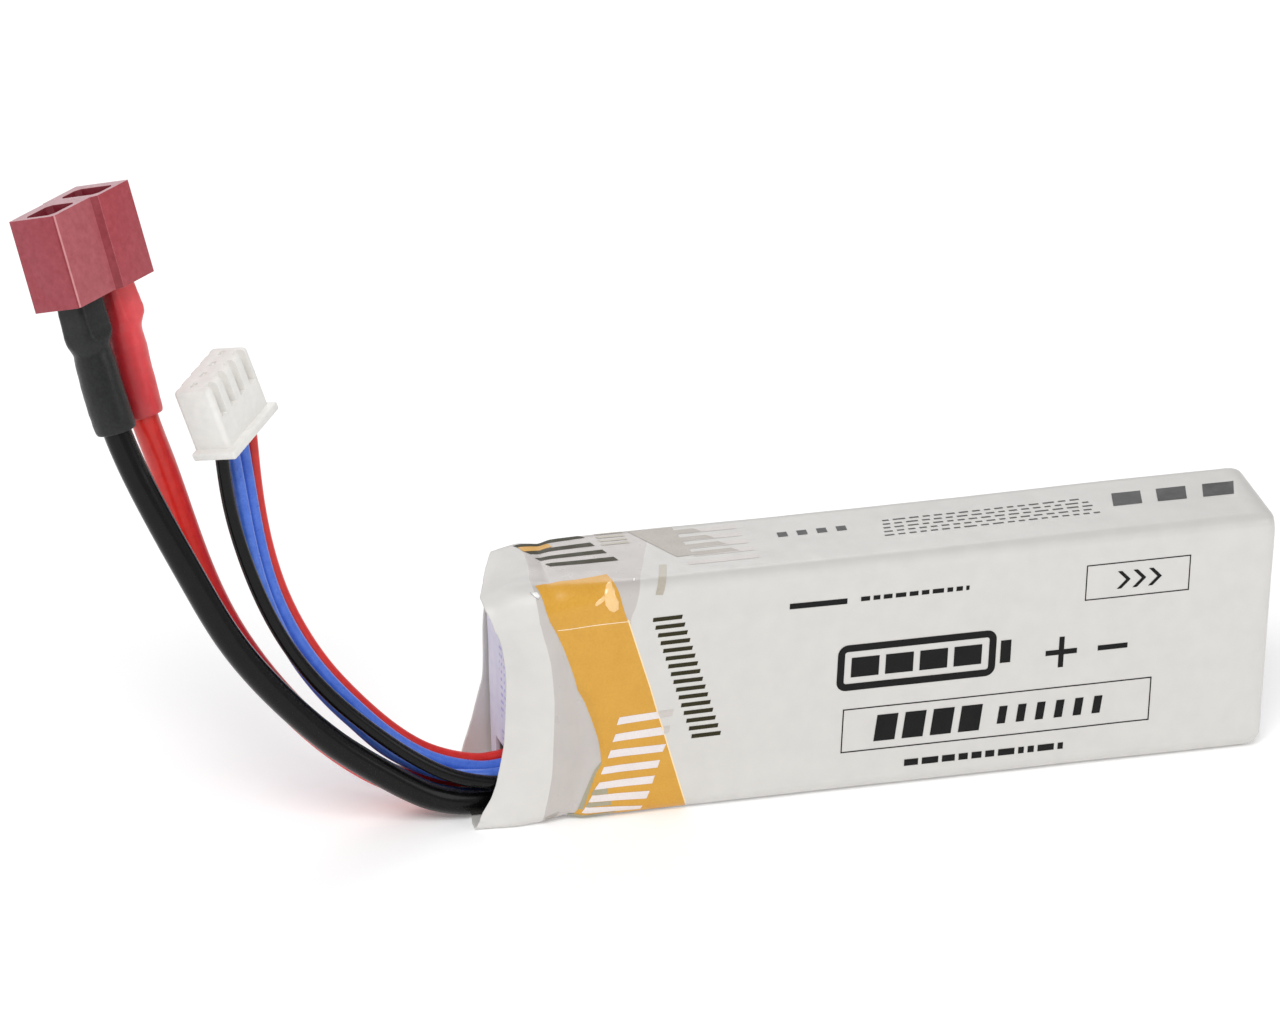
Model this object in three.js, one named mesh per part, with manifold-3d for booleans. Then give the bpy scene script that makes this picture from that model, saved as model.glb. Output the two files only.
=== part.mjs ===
// Three-cell lithium-polymer battery pack with a heat-shrunk film sleeve, two main leads on a T-plug
// and four balance leads on a four-way plug.
// Millimetres, +Z up. X runs along the pack (lead end at -X), Y through its thickness (printed face at -Y).
// The pack stands on its long narrow edge: z = 0 is that edge, x = 0 and y = 0 are the middle of the pack.
import * as THREE from 'three';
import { mergeVertices } from 'three/addons/utils/BufferGeometryUtils.js';
import Module from 'manifold-3d';

// ---------------------------------------------------------------- driving dimensions
const PACK_LENGTH = 103.0;      // mouth of the sleeve to the folded far end
const PACK_HEIGHT = 31.5;       // Z, width of the pouch cells plus film
const PACK_THICKNESS = 16.5;    // Y, three cells plus film
const FILM = 0.3;               // film thickness
const CORNER = 1.8;             // radius along the long edges
const CELL_THICKNESS = 5.0;
const CELL_TAPE = 0.15;
const CELL_BOTTOM = 0.6;
const CELL_TOP = 30.9;
const CELL_FRONT = 18.2;        // distances along the pack are measured from the mouth
const CELL_REAR = 100.2;
const MAIN_LEAD_DIA = 3.5;      // 14 AWG silicone lead
const BALANCE_LEAD_DIA = 1.7;   // 22 AWG silicone lead
const SLEEVE_LENGTH = 16.8;     // glue-lined sleeve below the T-plug
const T_LONG = 14.2, T_NEAR_HALF = 3.5, T_FAR_FRONT = -4.4, T_FAR_BACK = 3.8, T_TALL = 11.75;
const XH_TALL = 9.3, XH_PITCH = 2.5;

// where the two plugs sit at the ends of their leads: origin at the lead side, axes = long side, thickness, mouth
const T_ORIGIN = [-99.66, 9.1, 70.08];
const T_AXES = [[0.7946, 0.6071, 0.0015], [-0.5641, 0.7392, -0.3681], [-0.2246, 0.2916, 0.9298]];
const XH_ORIGIN = [-82.57, 4.02, 51.85];
const XH_AXES = [[0.6855, 0.6985, 0.2056], [-0.6380, 0.7123, -0.2926], [-0.3508, 0.0694, 0.9339]];

// lead centre lines, from the solder joints on the tab board out to the plugs
const ROUTE = {
  main_black: [[-43.10, -3.00, 2.75], [-50.92, -3.04, 2.79], [-58.00, -3.21, 4.19], [-64.87, -3.35, 7.85], [-71.13, -3.40, 12.52], [-76.45, -3.32, 17.61], [-81.61, -3.06, 23.49], [-86.01, -2.54, 29.91], [-89.52, -1.76, 36.34], [-93.10, -0.51, 43.19], [-96.36, 1.28, 50.07], [-98.79, 3.12, 56.76], [-100.58, 5.38, 64.03]],
  main_red: [[-43.10, 2.40, 2.75], [-50.81, 2.35, 2.80], [-57.88, 2.04, 3.96], [-64.81, 1.67, 7.19], [-70.84, 1.71, 11.92], [-75.91, 1.99, 17.11], [-80.68, 2.63, 23.12], [-84.47, 3.63, 29.74], [-87.10, 4.98, 36.36], [-89.36, 6.81, 43.48], [-91.92, 7.04, 50.41], [-94.13, 6.95, 56.89], [-95.42, 9.33, 64.04]],
  balance_black: [[-42.90, -4.90, 5.90], [-47.00, -4.88, 5.96], [-51.37, -4.73, 6.42], [-55.58, -4.32, 7.59], [-59.30, -3.82, 9.22], [-62.83, -3.36, 11.23], [-66.39, -2.98, 13.84], [-69.68, -2.68, 16.81], [-72.49, -2.41, 19.79], [-75.04, -2.14, 22.99], [-77.47, -1.82, 26.70], [-79.54, -1.45, 30.62], [-81.15, -1.01, 34.37], [-82.50, -0.45, 38.20], [-83.69, 0.23, 42.44], [-84.52, 0.86, 46.75], [-85.04, 1.38, 50.80]],
  balance_blue_1: [[-42.90, -2.70, 5.90], [-47.02, -2.68, 5.95], [-51.45, -2.53, 6.31], [-55.77, -2.14, 7.23], [-59.62, -1.65, 8.55], [-63.25, -1.18, 10.36], [-66.80, -0.78, 12.97], [-69.96, -0.48, 16.08], [-72.59, -0.22, 19.24], [-74.91, 0.03, 22.63], [-77.02, 0.35, 26.54], [-78.74, 0.73, 30.64], [-80.00, 1.16, 34.55], [-80.94, 1.68, 38.53], [-81.76, 2.26, 42.89], [-82.56, 2.75, 47.27], [-83.32, 3.13, 51.31]],
  balance_blue_2: [[-42.90, -0.50, 5.90], [-46.96, -0.48, 5.95], [-51.29, -0.27, 6.31], [-55.48, 0.26, 7.30], [-59.12, 0.85, 8.85], [-62.47, 1.31, 11.00], [-65.78, 1.63, 13.85], [-68.82, 1.86, 17.01], [-71.37, 2.07, 20.15], [-73.63, 2.30, 23.50], [-75.72, 2.60, 27.35], [-77.39, 2.95, 31.38], [-78.54, 3.35, 35.25], [-79.41, 3.79, 39.19], [-80.18, 4.23, 43.50], [-80.92, 4.59, 47.83], [-81.61, 4.87, 51.83]],
  balance_red: [[-42.90, 1.70, 5.90], [-46.92, 1.73, 5.95], [-51.20, 1.98, 6.32], [-55.30, 2.59, 7.38], [-58.83, 3.22, 9.06], [-62.08, 3.64, 11.31], [-65.32, 3.90, 14.20], [-68.25, 4.10, 17.41], [-70.66, 4.29, 20.62], [-72.77, 4.52, 24.03], [-74.74, 4.80, 27.90], [-76.31, 5.11, 31.94], [-77.42, 5.45, 35.79], [-78.26, 5.80, 39.71], [-78.94, 6.12, 44.01], [-79.46, 6.39, 48.34], [-79.89, 6.62, 52.34]],
};

const X0 = -PACK_LENGTH / 2;
const HY = PACK_THICKNESS / 2;
const wasm = await Module();
wasm.setup();
const group = new THREE.Group();
group.name = 'lipo_battery_pack';

// ---------------------------------------------------------------- materials
const mat = (name, color, roughness, metalness = 0) => {
  const m = new THREE.MeshStandardMaterial({ color, roughness, metalness });
  m.name = name;
  return m;
};
const M = {
  film: () => mat('film_white', 0xe6e4df, 0.3),
  pouch: () => mat('pouch_foil', 0xb9bcc0, 0.4, 0.8),
  alu: () => mat('tab_aluminium', 0xc9ccd0, 0.45, 0.9),
  nickel: () => mat('tab_nickel', 0xb4b0a8, 0.35, 0.95),
  tape: () => mat('cell_tape', 0xe9e2c8, 0.7),
  amber: () => mat('binding_tape', 0xc98a2b, 0.4),
  card: () => mat('insulation_card', 0xc9cfd4, 0.9),
  board: () => mat('board_green', 0x2f6b3f, 0.5),
  solder: () => mat('solder', 0xbfc1c4, 0.35, 0.9),
  pad: () => mat('end_card', 0xd2cfe0, 0.9),
  black: () => mat('silicone_black', 0x1c1c1d, 0.45),
  red: () => mat('silicone_red', 0xc23227, 0.45),
  blue: () => mat('silicone_blue', 0x2f4fb0, 0.45),
  shrinkBlack: () => mat('sleeve_black', 0x2b2b2c, 0.5),
  shrinkRed: () => mat('sleeve_red', 0xd0383a, 0.5),
  plug: () => mat('nylon_red', 0x9c3a44, 0.5),
  gold: () => mat('contact_gold', 0xd9b25a, 0.25, 1.0),
  steel: () => mat('spring_steel', 0xc4c6c8, 0.3, 1.0),
  nylon: () => mat('nylon_white', 0xe9e8e3, 0.5),
  tin: () => mat('terminal_tin', 0xbdbfc0, 0.3, 0.95),
};

// ---------------------------------------------------------------- helpers
function outward(geo) {
  const p = geo.getAttribute('position'), ix = geo.getIndex();
  let v = 0;
  const a = new THREE.Vector3(), b = new THREE.Vector3(), c = new THREE.Vector3();
  for (let i = 0; i < ix.count; i += 3) {
    a.fromBufferAttribute(p, ix.getX(i)); b.fromBufferAttribute(p, ix.getX(i + 1)); c.fromBufferAttribute(p, ix.getX(i + 2));
    v += a.dot(b.cross(c));
  }
  if (v < 0) {
    const arr = ix.array;
    for (let i = 0; i < arr.length; i += 3) { const t = arr[i]; arr[i] = arr[i + 1]; arr[i + 1] = t; }
  }
  return geo;
}
function clean(geo) {
  const g = geo.clone();
  g.deleteAttribute('normal');
  g.deleteAttribute('uv');
  return outward(mergeVertices(g, 1e-4));
}
// closed body through a list of rings with equal point counts; torus joins the last ring to the first
function loft(rings, torus = false) {
  const n = rings[0].length, pos = [], idx = [];
  for (const r of rings) for (const p of r) pos.push(...p);
  const m = rings.length, last = torus ? m : m - 1;
  for (let i = 0; i < last; i++) for (let j = 0; j < n; j++) {
    const a = i * n + j, b = i * n + (j + 1) % n, c = ((i + 1) % m) * n + (j + 1) % n, d = ((i + 1) % m) * n + j;
    idx.push(a, b, c, a, c, d);
  }
  if (!torus) {
    for (const [i, flip] of [[0, true], [m - 1, false]]) {
      const k = pos.length / 3, c = [0, 0, 0];
      for (const p of rings[i]) for (let q = 0; q < 3; q++) c[q] += p[q] / n;
      pos.push(...c);
      for (let j = 0; j < n; j++) {
        const a = i * n + j, b = i * n + (j + 1) % n;
        if (flip) idx.push(k, b, a); else idx.push(k, a, b);
      }
    }
  }
  const g = new THREE.BufferGeometry();
  g.setAttribute('position', new THREE.Float32BufferAttribute(pos, 3));
  g.setIndex(idx);
  return outward(g);
}
// rounded rectangle in the YZ plane at distance s from the mouth
function ring(s, y0, y1, z0, z1, r, per = 4) {
  const out = [];
  const cs = [[y1 - r, z1 - r, 0], [y0 + r, z1 - r, 90], [y0 + r, z0 + r, 180], [y1 - r, z0 + r, 270]];
  for (const [cy, cz, a0] of cs) for (let i = 0; i <= per; i++) {
    const a = (a0 + 90 * i / per) * Math.PI / 180;
    out.push([X0 + s, cy + r * Math.cos(a), cz + r * Math.sin(a)]);
  }
  return out;
}
// rounded rectangle in the XY plane of a plug
function flat(x0, x1, y0, y1, r, z, per = 3) {
  const out = [];
  const cs = [[x1 - r, y1 - r, 0], [x0 + r, y1 - r, 90], [x0 + r, y0 + r, 180], [x1 - r, y0 + r, 270]];
  for (const [cx, cy, a0] of cs) for (let i = 0; i <= per; i++) {
    const a = (a0 + 90 * i / per) * Math.PI / 180;
    out.push([cx + r * Math.cos(a), cy + r * Math.sin(a), z]);
  }
  return out;
}
function box(x0, x1, y0, y1, z0, z1) {
  const g = new THREE.BoxGeometry(x1 - x0, y1 - y0, z1 - z0);
  g.translate((x0 + x1) / 2, (y0 + y1) / 2, (z0 + z1) / 2);
  return clean(g);
}
function toSolid(geo) {
  const g = clean(geo);
  return new wasm.Manifold(new wasm.Mesh({
    numProp: 3,
    vertProperties: new Float32Array(g.getAttribute('position').array),
    triVerts: new Uint32Array(g.getIndex().array),
  }));
}
function fromSolid(s) {
  const m = s.getMesh(), g = new THREE.BufferGeometry();
  g.setAttribute('position', new THREE.Float32BufferAttribute(Array.from(m.vertProperties), 3));
  g.setIndex(Array.from(m.triVerts));
  return outward(g);
}
function cut(base, tools) {
  let s = toSolid(base);
  for (const t of tools) s = s.subtract(toSolid(t));
  return fromSolid(s);
}
function join(parts) {
  let s = toSolid(parts[0]);
  for (const t of parts.slice(1)) s = s.add(toSolid(t));
  return fromSolid(s);
}
function place(geo, origin, axes) {
  const m = new THREE.Matrix4();
  const [a, b, c] = axes.map((v) => new THREE.Vector3(...v));
  c.normalize(); a.addScaledVector(c, -a.dot(c)).normalize(); b.crossVectors(c, a);
  m.makeBasis(a, b, c).setPosition(...origin);
  const g = geo.clone();
  g.applyMatrix4(m);
  return g;
}
function add(name, geo, material) {
  const g = geo.clone();
  g.deleteAttribute('uv');
  g.computeVertexNormals();
  const mesh = new THREE.Mesh(g, material);
  mesh.name = name;
  group.add(mesh);
}
function lead(points, dia, steps) {
  const shape = new THREE.Shape();
  for (let i = 0; i < 8; i++) {
    const a = (i + 0.5) * Math.PI / 4, r = dia / 2;
    if (i === 0) shape.moveTo(r * Math.cos(a), r * Math.sin(a)); else shape.lineTo(r * Math.cos(a), r * Math.sin(a));
  }
  shape.closePath();
  const path = new THREE.CatmullRomCurve3(points.map((p) => new THREE.Vector3(...p)), false, 'centripetal');
  return clean(new THREE.ExtrudeGeometry(shape, { steps, extrudePath: path, bevelEnabled: false }));
}

// ---------------------------------------------------------------- film sleeve
// open, slightly flared mouth; pulled in between the mouth and the cell block; folded in at the far end
const profile = [
  // s, half thickness, bottom, top, corner radius
  [0.0, 7.40, 0.75, 30.75, 3.0],
  [0.6, 7.95, 0.25, 31.25, 3.2],
  [1.6, 8.20, 0.04, 31.46, 3.3],
  [3.0, 8.25, 0.00, 31.50, 3.3],
  [4.6, 8.12, 0.02, 31.48, 3.1],
  [6.2, 7.75, 0.10, 31.40, 2.8],
  [8.0, 7.45, 0.20, 31.28, 2.5],
  [10.0, 7.50, 0.20, 31.26, 2.3],
  [12.0, 7.78, 0.12, 31.35, 2.1],
  [14.0, 8.10, 0.04, 31.45, 1.9],
  [16.5, 8.25, 0.00, 31.50, CORNER],
  [45.0, 8.25, 0.00, 31.50, CORNER],
  [73.0, 8.25, 0.00, 31.50, CORNER],
  [101.2, 8.25, 0.00, 31.50, CORNER],
  [102.3, 8.05, 0.20, 31.30, CORNER],
  [102.85, 7.65, 0.60, 30.90, CORNER],
  [103.0, 7.10, 1.15, 30.35, CORNER],
];
const outer = profile.map(([s, h, z0, z1, r]) => ring(s, -h, h, z0, z1, r));
outer.push(ring(103.0, -4.4, 4.4, 4.6, 26.9, 1.5));
const inner = profile.map(([s, h, z0, z1, r], i) => {
  const back = i >= profile.length - 3 ? FILM : 0;
  return ring(Math.max(s - back, s === 0 ? 0 : 0.1), -h + FILM, h - FILM, z0 + FILM, z1 - FILM, r - FILM);
});
inner.push(ring(103.0 - FILM, -4.4, 4.4, 4.6, 26.9, 1.5));
add('wrap_film', loft([...outer, ...inner.reverse()], true), M.film());

// ---------------------------------------------------------------- cell block
const CELL_Y = [-(CELL_THICKNESS + CELL_TAPE), 0, CELL_THICKNESS + CELL_TAPE];
const TAB_LOW = [6.5, 12.5], TAB_HIGH = [19.0, 25.0];
CELL_Y.forEach((yc, i) => {
  const h = CELL_THICKNESS / 2;
  const body = loft([
    ring(CELL_FRONT, yc - 0.9, yc + 0.9, CELL_BOTTOM + 1.6, CELL_TOP - 1.6, 0.8, 3),
    ring(CELL_FRONT + 0.9, yc - h, yc + h, CELL_BOTTOM, CELL_TOP, 1.2, 3),
    ring(CELL_REAR - 0.9, yc - h, yc + h, CELL_BOTTOM, CELL_TOP, 1.2, 3),
    ring(CELL_REAR, yc - 1.4, yc + 1.4, CELL_BOTTOM + 1.2, CELL_TOP - 1.2, 1.0, 3),
  ]);
  const terrace = box(X0 + 14.8, X0 + CELL_FRONT + 0.5, yc - 0.4, yc + 0.4, 3.0, 28.5);
  add(`cell_${i + 1}`, join([body, terrace]), M.pouch());
  const pos = i % 2 === 0 ? TAB_LOW : TAB_HIGH, neg = i % 2 === 0 ? TAB_HIGH : TAB_LOW;
  add(`cell_${i + 1}_positive_tab`, box(X0 + 11.5, X0 + 14.8, yc - 0.15, yc + 0.15, pos[0], pos[1]), M.alu());
  add(`cell_${i + 1}_negative_tab`, box(X0 + 11.5, X0 + 14.8, yc - 0.15, yc + 0.15, neg[0], neg[1]), M.nickel());
});
for (const [i, y] of [[1, -CELL_THICKNESS / 2 - CELL_TAPE], [2, CELL_THICKNESS / 2]])
  add(`cell_tape_${i}`, box(X0 + 24, X0 + 95, y, y + CELL_TAPE, 4.5, 27.0), M.tape());
// one turn of amber tape near each end of the cell block
for (const [name, s] of [['binding_tape_front', 24], ['binding_tape_rear', 84]]) {
  const yo = 7.82, yi = 7.69;
  add(name, loft([
    ring(s, -yo, yo, 0.42, 31.08, 1.33, 3), ring(s + 10, -yo, yo, 0.42, 31.08, 1.33, 3),
    ring(s + 10, -yi, yi, 0.55, 30.95, 1.2, 3), ring(s, -yi, yi, 0.55, 30.95, 1.2, 3),
  ], true), M.amber());
}
// card between the pouch seams and the board, slotted for the six tabs
const slots = [];
for (const yc of CELL_Y) for (const t of [TAB_LOW, TAB_HIGH])
  slots.push(box(X0 + 12.4, X0 + 14.0, yc - 0.45, yc + 0.45, t[0] - 0.3, t[1] + 0.3));
add('insulation_card', cut(loft([ring(13.0, -6.9, 6.9, 1.2, 30.2, 1.5), ring(13.4, -6.9, 6.9, 1.2, 30.2, 1.5)]), slots), M.card());
add('tab_board', loft([ring(10.5, -6.8, 6.8, 1.0, 30.0, 0.5), ring(11.5, -6.8, 6.8, 1.0, 30.0, 0.5)]), M.board());
function dome(radius, height, y, z) {
  const pts = [new THREE.Vector2(0, 0), new THREE.Vector2(radius, 0)];
  for (let i = 1; i < 5; i++) {
    const a = i * Math.PI / 10;
    pts.push(new THREE.Vector2(radius * Math.cos(a), height * Math.sin(a)));
  }
  pts.push(new THREE.Vector2(0, height), new THREE.Vector2(0, 0));
  const g = new THREE.LatheGeometry(pts, 14);
  g.rotateZ(Math.PI / 2);                 // the dome points to -X, its base lies on the board
  g.translate(X0 + 10.5, y, z);
  return clean(g);
}
add('main_solder_black', dome(1.7, 1.8, -3.0, 2.75), M.solder());
add('main_solder_red', dome(1.7, 1.8, 2.4, 2.75), M.solder());
[['black', -4.9], ['blue_1', -2.7], ['blue_2', -0.5], ['red', 1.7]].forEach(([n, y]) =>
  add(`balance_solder_${n}`, dome(0.85, 1.6, y, 5.9), M.solder()));

// ---------------------------------------------------------------- end cards
add('front_end_card', cut(
  loft([ring(4.3, -7.1, 7.1, 0.75, 30.7, 2.0), ring(4.9, -7.1, 7.1, 0.75, 30.7, 2.0)]),
  [box(X0 + 3, X0 + 6, -6.3, 4.8, -1, 7.3)]), M.pad());
add('rear_end_card', loft([ring(100.5, -7.3, 7.3, 1.2, 30.3, 1.6), ring(102.4, -7.1, 7.1, 1.4, 30.1, 1.6)]), M.pad());

// ---------------------------------------------------------------- leads
add('main_lead_black', lead(ROUTE.main_black, MAIN_LEAD_DIA, 22), M.black());
add('main_lead_red', lead(ROUTE.main_red, MAIN_LEAD_DIA, 26), M.red());
add('balance_lead_black', lead(ROUTE.balance_black, BALANCE_LEAD_DIA, 15), M.black());
add('balance_lead_blue_1', lead(ROUTE.balance_blue_1, BALANCE_LEAD_DIA, 15), M.blue());
add('balance_lead_blue_2', lead(ROUTE.balance_blue_2, BALANCE_LEAD_DIA, 15), M.blue());
add('balance_lead_red', lead(ROUTE.balance_red, BALANCE_LEAD_DIA, 15), M.red());

// ---------------------------------------------------------------- T-plug (local frame, lead side at z = 0, mouth up)
const T = (geo) => place(geo, T_ORIGIN, T_AXES);
const outline = (z, k) => {
  const h = T_LONG / 2 - k;
  return [
    [-h, -T_NEAR_HALF + k, z], [0.3, -T_NEAR_HALF + k, z], [0.85, T_FAR_FRONT + k, z], [h, T_FAR_FRONT + k, z],
    [h, T_FAR_BACK - k, z], [0.2, T_FAR_BACK - k, z], [-0.1, T_NEAR_HALF - k, z], [-h, T_NEAR_HALF - k, z],
  ];
};
const tBody = loft([outline(0, 0.25), outline(0.25, 0), outline(T_TALL - 0.3, 0), outline(T_TALL, 0.3)]);
const nearSlot = { x0: -5.8, x1: -1.0, y0: -1.3, y1: 1.3 };
const farSlot = { x0: 2.5, x1: 5.2, y0: -3.05, y1: 2.3 };
add('t_plug_housing', T(cut(tBody, [
  box(nearSlot.x0, nearSlot.x1, nearSlot.y0, nearSlot.y1, 2.2, 14),
  box(farSlot.x0, farSlot.x1, farSlot.y0, farSlot.y1, 2.2, 14),
  box(-4.4, -1.3, 0.1, 1.3, -1, 3),        // passage for the black contact's tail
  box(2.5, 3.7, -1.7, 1.4, -1, 3),         // passage for the red contact's tail
])), M.plug());
// flat contacts with their solder tails, each against one wall of its socket
add('t_plug_contact_black', T(join([
  box(-5.4, -1.4, 0.4, 1.0, 2.5, 9.4), box(-4.1, -1.6, 0.4, 1.0, -4.2, 2.6)])), M.gold());
add('t_plug_contact_red', T(join([
  box(2.8, 3.4, -2.6, 1.9, 2.5, 9.4), box(2.8, 3.4, -1.3, 1.1, -4.2, 2.6)])), M.gold());
// bowed steel leaf springs facing the contacts; each rocks about its foot
function leaf(across, lift) {
  const rings = [];
  const prof = [[2.6, 0], [3.6, 0.02], [5.0, 0.28], [6.4, 0.42], [7.8, 0.28], [9.2, -0.02]];
  for (const [z, b] of prof) {
    rings.push([[-across, b, z], [across, b, z], [across, b + 0.2, z], [-across, b + 0.2, z]]);
  }
  const g = loft(rings);
  g.translate(0, lift, 0);
  return g;
}
add('t_plug_spring_black', T((() => { const g = leaf(1.6, -0.95); g.translate(-3.4, 0, 0); return g; })()), M.steel());
add('t_plug_spring_red', T((() => { const g = leaf(1.8, -0.95); g.rotateZ(Math.PI / 2); g.translate(3.9, -0.35, 0); return g; })()), M.steel());

// ---------------------------------------------------------------- glue-lined sleeves over the soldered tails
function sleeve(line) {
  // line gives the middle of the section at each height, as the sleeve leans over with its lead
  const at = (z) => {
    for (let i = 1; i < line.length; i++) {
      const [za, xa, ya] = line[i - 1];
      const [zb, xb, yb] = line[i];
      if (z >= zb || i === line.length - 1) {
        const f = Math.min(1, Math.max(0, (za - z) / (za - zb)));
        return [xa + (xb - xa) * f, ya + (yb - ya) * f];
      }
    }
    return [0, 0];
  };
  const rr = (z, a, b, r) => { const [cx, cy] = at(z); return flat(cx - a, cx + a, cy - b, cy + b, r, z, 3); };
  const out = [
    rr(-0.3, 2.4, 2.1, 1.0), rr(-3.6, 2.5, 2.15, 1.1), rr(-4.8, 2.5, 2.4, 1.8), rr(-6.2, 2.45, 2.45, 2.35),
    rr(-7.4, 2.55, 2.55, 2.45), rr(-10.5, 2.55, 2.55, 2.45), rr(-13.5, 2.55, 2.55, 2.45), rr(-15.2, 2.55, 2.55, 2.45),
    rr(-16.2, 2.55, 2.55, 2.45), rr(-SLEEVE_LENGTH, 2.4, 2.4, 2.3),
  ];
  const inn = [
    rr(-SLEEVE_LENGTH, 2.12, 2.12, 2.07), rr(-16.2, 2.12, 2.12, 2.07), rr(-15.2, 2.12, 2.12, 2.07), rr(-13.5, 2.1, 2.1, 2.05),
    rr(-10.5, 2.08, 2.08, 2.03), rr(-7.4, 2.08, 2.08, 2.03), rr(-6.2, 2.0, 2.0, 1.9),
    rr(-4.8, 2.0, 1.9, 1.4), rr(-3.6, 1.9, 1.6, 0.6), rr(-0.3, 1.8, 1.55, 0.5),
  ];
  return loft([...out, ...inn], true);
}
const BLACK_LINE = [[-0.3, -2.8, 0], [-3.6, -2.9, 0], [-6.6, -3.002, 0.0], [-9, -3.037, 0.001], [-11.5, -3.04, 0.001], [-14, -2.975, -0.006], [-15.5, -2.888, -0.02], [-17.0, -2.762, -0.047]];
const RED_LINE = [[-0.3, 3.9, 0], [-3.6, 3.9, 0], [-6.6, 3.492, 0.001], [-9, 3.293, 0.034], [-11.5, 3.114, 0.063], [-14, 3.066, 0.136], [-15.5, 3.181, 0.252], [-17.0, 3.468, 0.463]];
add('sleeve_black', T(sleeve(BLACK_LINE)), M.shrinkBlack());
add('sleeve_red', T(sleeve(RED_LINE)), M.shrinkRed());
const blob = (cx, cy) => loft([
  flat(cx - 0.9, cx + 0.9, cy - 0.9, cy + 0.9, 0.7, -4.5), flat(cx - 1.5, cx + 1.5, cy - 1.5, cy + 1.5, 1.3, -4.9),
  flat(cx - 1.5, cx + 1.5, cy - 1.5, cy + 1.5, 1.3, -5.8), flat(cx - 1.1, cx + 1.1, cy - 1.1, cy + 1.1, 0.9, -6.2)]);
add('plug_solder_black', T(blob(-3.0, 0)), M.solder());
add('plug_solder_red', T(blob(3.6, 0)), M.solder());

// ---------------------------------------------------------------- balance plug (local frame as above)
const B = (geo) => place(geo, XH_ORIGIN, XH_AXES);
const xhBody = join([
  loft([flat(-5.3, 5.3, -2.6, 2.6, 0.7, 0.6), flat(-5.3, 5.3, -2.6, 2.6, 0.7, XH_TALL - 0.5), flat(-4.9, 4.9, -2.2, 2.2, 0.5, XH_TALL)]),
  loft([flat(-6.3, 5.5, -3.7, 2.5, 0.4, 0), flat(-6.3, 5.5, -3.7, 2.5, 0.4, 1.1)]),
]);
const xhCuts = [];
for (let i = 0; i < 4; i++) {
  const x = (i - 1.5) * XH_PITCH;
  xhCuts.push(box(x - 0.95, x + 0.95, -1.3, 1.4, -1, 8.2));       // terminal cavity, open at the lead side
  xhCuts.push(box(x - 0.55, x + 0.55, -0.4, 0.8, 7.6, 11));          // pin entry in the mouth face
  xhCuts.push(box(x - 0.6, x + 0.6, -4, -1.0, 5.1, 11));           // slot in the front face
  xhCuts.push(box(x - 0.7, x + 0.7, 1.75, 4, 8.2, 11));             // small notch on the back edge
}
add('balance_plug_housing', B(cut(xhBody, xhCuts)), M.nylon());
for (let i = 0; i < 4; i++) {
  const x = (i - 1.5) * XH_PITCH;
  add(`balance_terminal_${i + 1}`, B(cut(box(x - 0.7, x + 0.7, -0.9, 1.0, 0.6, 7.8), [box(x - 0.42, x + 0.42, -0.5, 0.6, 0, 9)])), M.tin());
}

export default group;
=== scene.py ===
import bpy, bmesh, math
from mathutils import Matrix, Vector, noise


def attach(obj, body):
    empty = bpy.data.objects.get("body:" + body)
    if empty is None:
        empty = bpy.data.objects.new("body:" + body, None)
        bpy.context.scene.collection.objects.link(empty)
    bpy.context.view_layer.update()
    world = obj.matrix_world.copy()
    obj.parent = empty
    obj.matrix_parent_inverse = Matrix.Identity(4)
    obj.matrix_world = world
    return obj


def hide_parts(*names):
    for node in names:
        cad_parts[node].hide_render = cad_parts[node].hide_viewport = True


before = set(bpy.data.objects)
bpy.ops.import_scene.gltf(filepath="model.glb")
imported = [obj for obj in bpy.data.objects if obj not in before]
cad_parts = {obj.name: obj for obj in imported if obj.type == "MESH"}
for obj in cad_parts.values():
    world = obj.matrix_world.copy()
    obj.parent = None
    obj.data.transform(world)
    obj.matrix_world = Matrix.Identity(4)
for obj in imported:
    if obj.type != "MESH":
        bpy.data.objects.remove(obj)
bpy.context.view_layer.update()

MM = 0.001
HX = 51.5          # half the pack length: u is measured from the mouth, x = u - HX
H, HY, R0 = 31.5, 8.25, 1.8

# ------------------------------------------------------------------ camera
cam_data = bpy.data.cameras.new("camera")
cam = bpy.data.objects.new("camera", cam_data)
bpy.context.scene.collection.objects.link(cam)
cx = Vector((0.942989, -0.329398, 0.047624))
cy = Vector((0.096008, 0.406228, 0.908714))
cz = Vector((-0.318675, -0.852335, 0.414693))
m = Matrix.Identity(4)
for i, a in enumerate((cx, cy, cz)):
    a = a.normalized()
    for j in range(3):
        m[j][i] = a[j]
m.translation = Vector(((-451.308 - HX) * MM, -1262.327 * MM, 651.849 * MM))
cam.matrix_world = m
cam_data.sensor_width = 36.0
cam_data.lens = 337.5
cam_data.clip_start, cam_data.clip_end = 0.05, 20.0
bpy.context.scene.camera = cam


# ------------------------------------------------------------------ materials
def lin(c):
    out = []
    for v in c:
        v = v / 255.0
        out.append(v / 12.92 if v <= 0.04045 else ((v + 0.055) / 1.055) ** 2.4)
    return (*out, 1.0)


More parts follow.
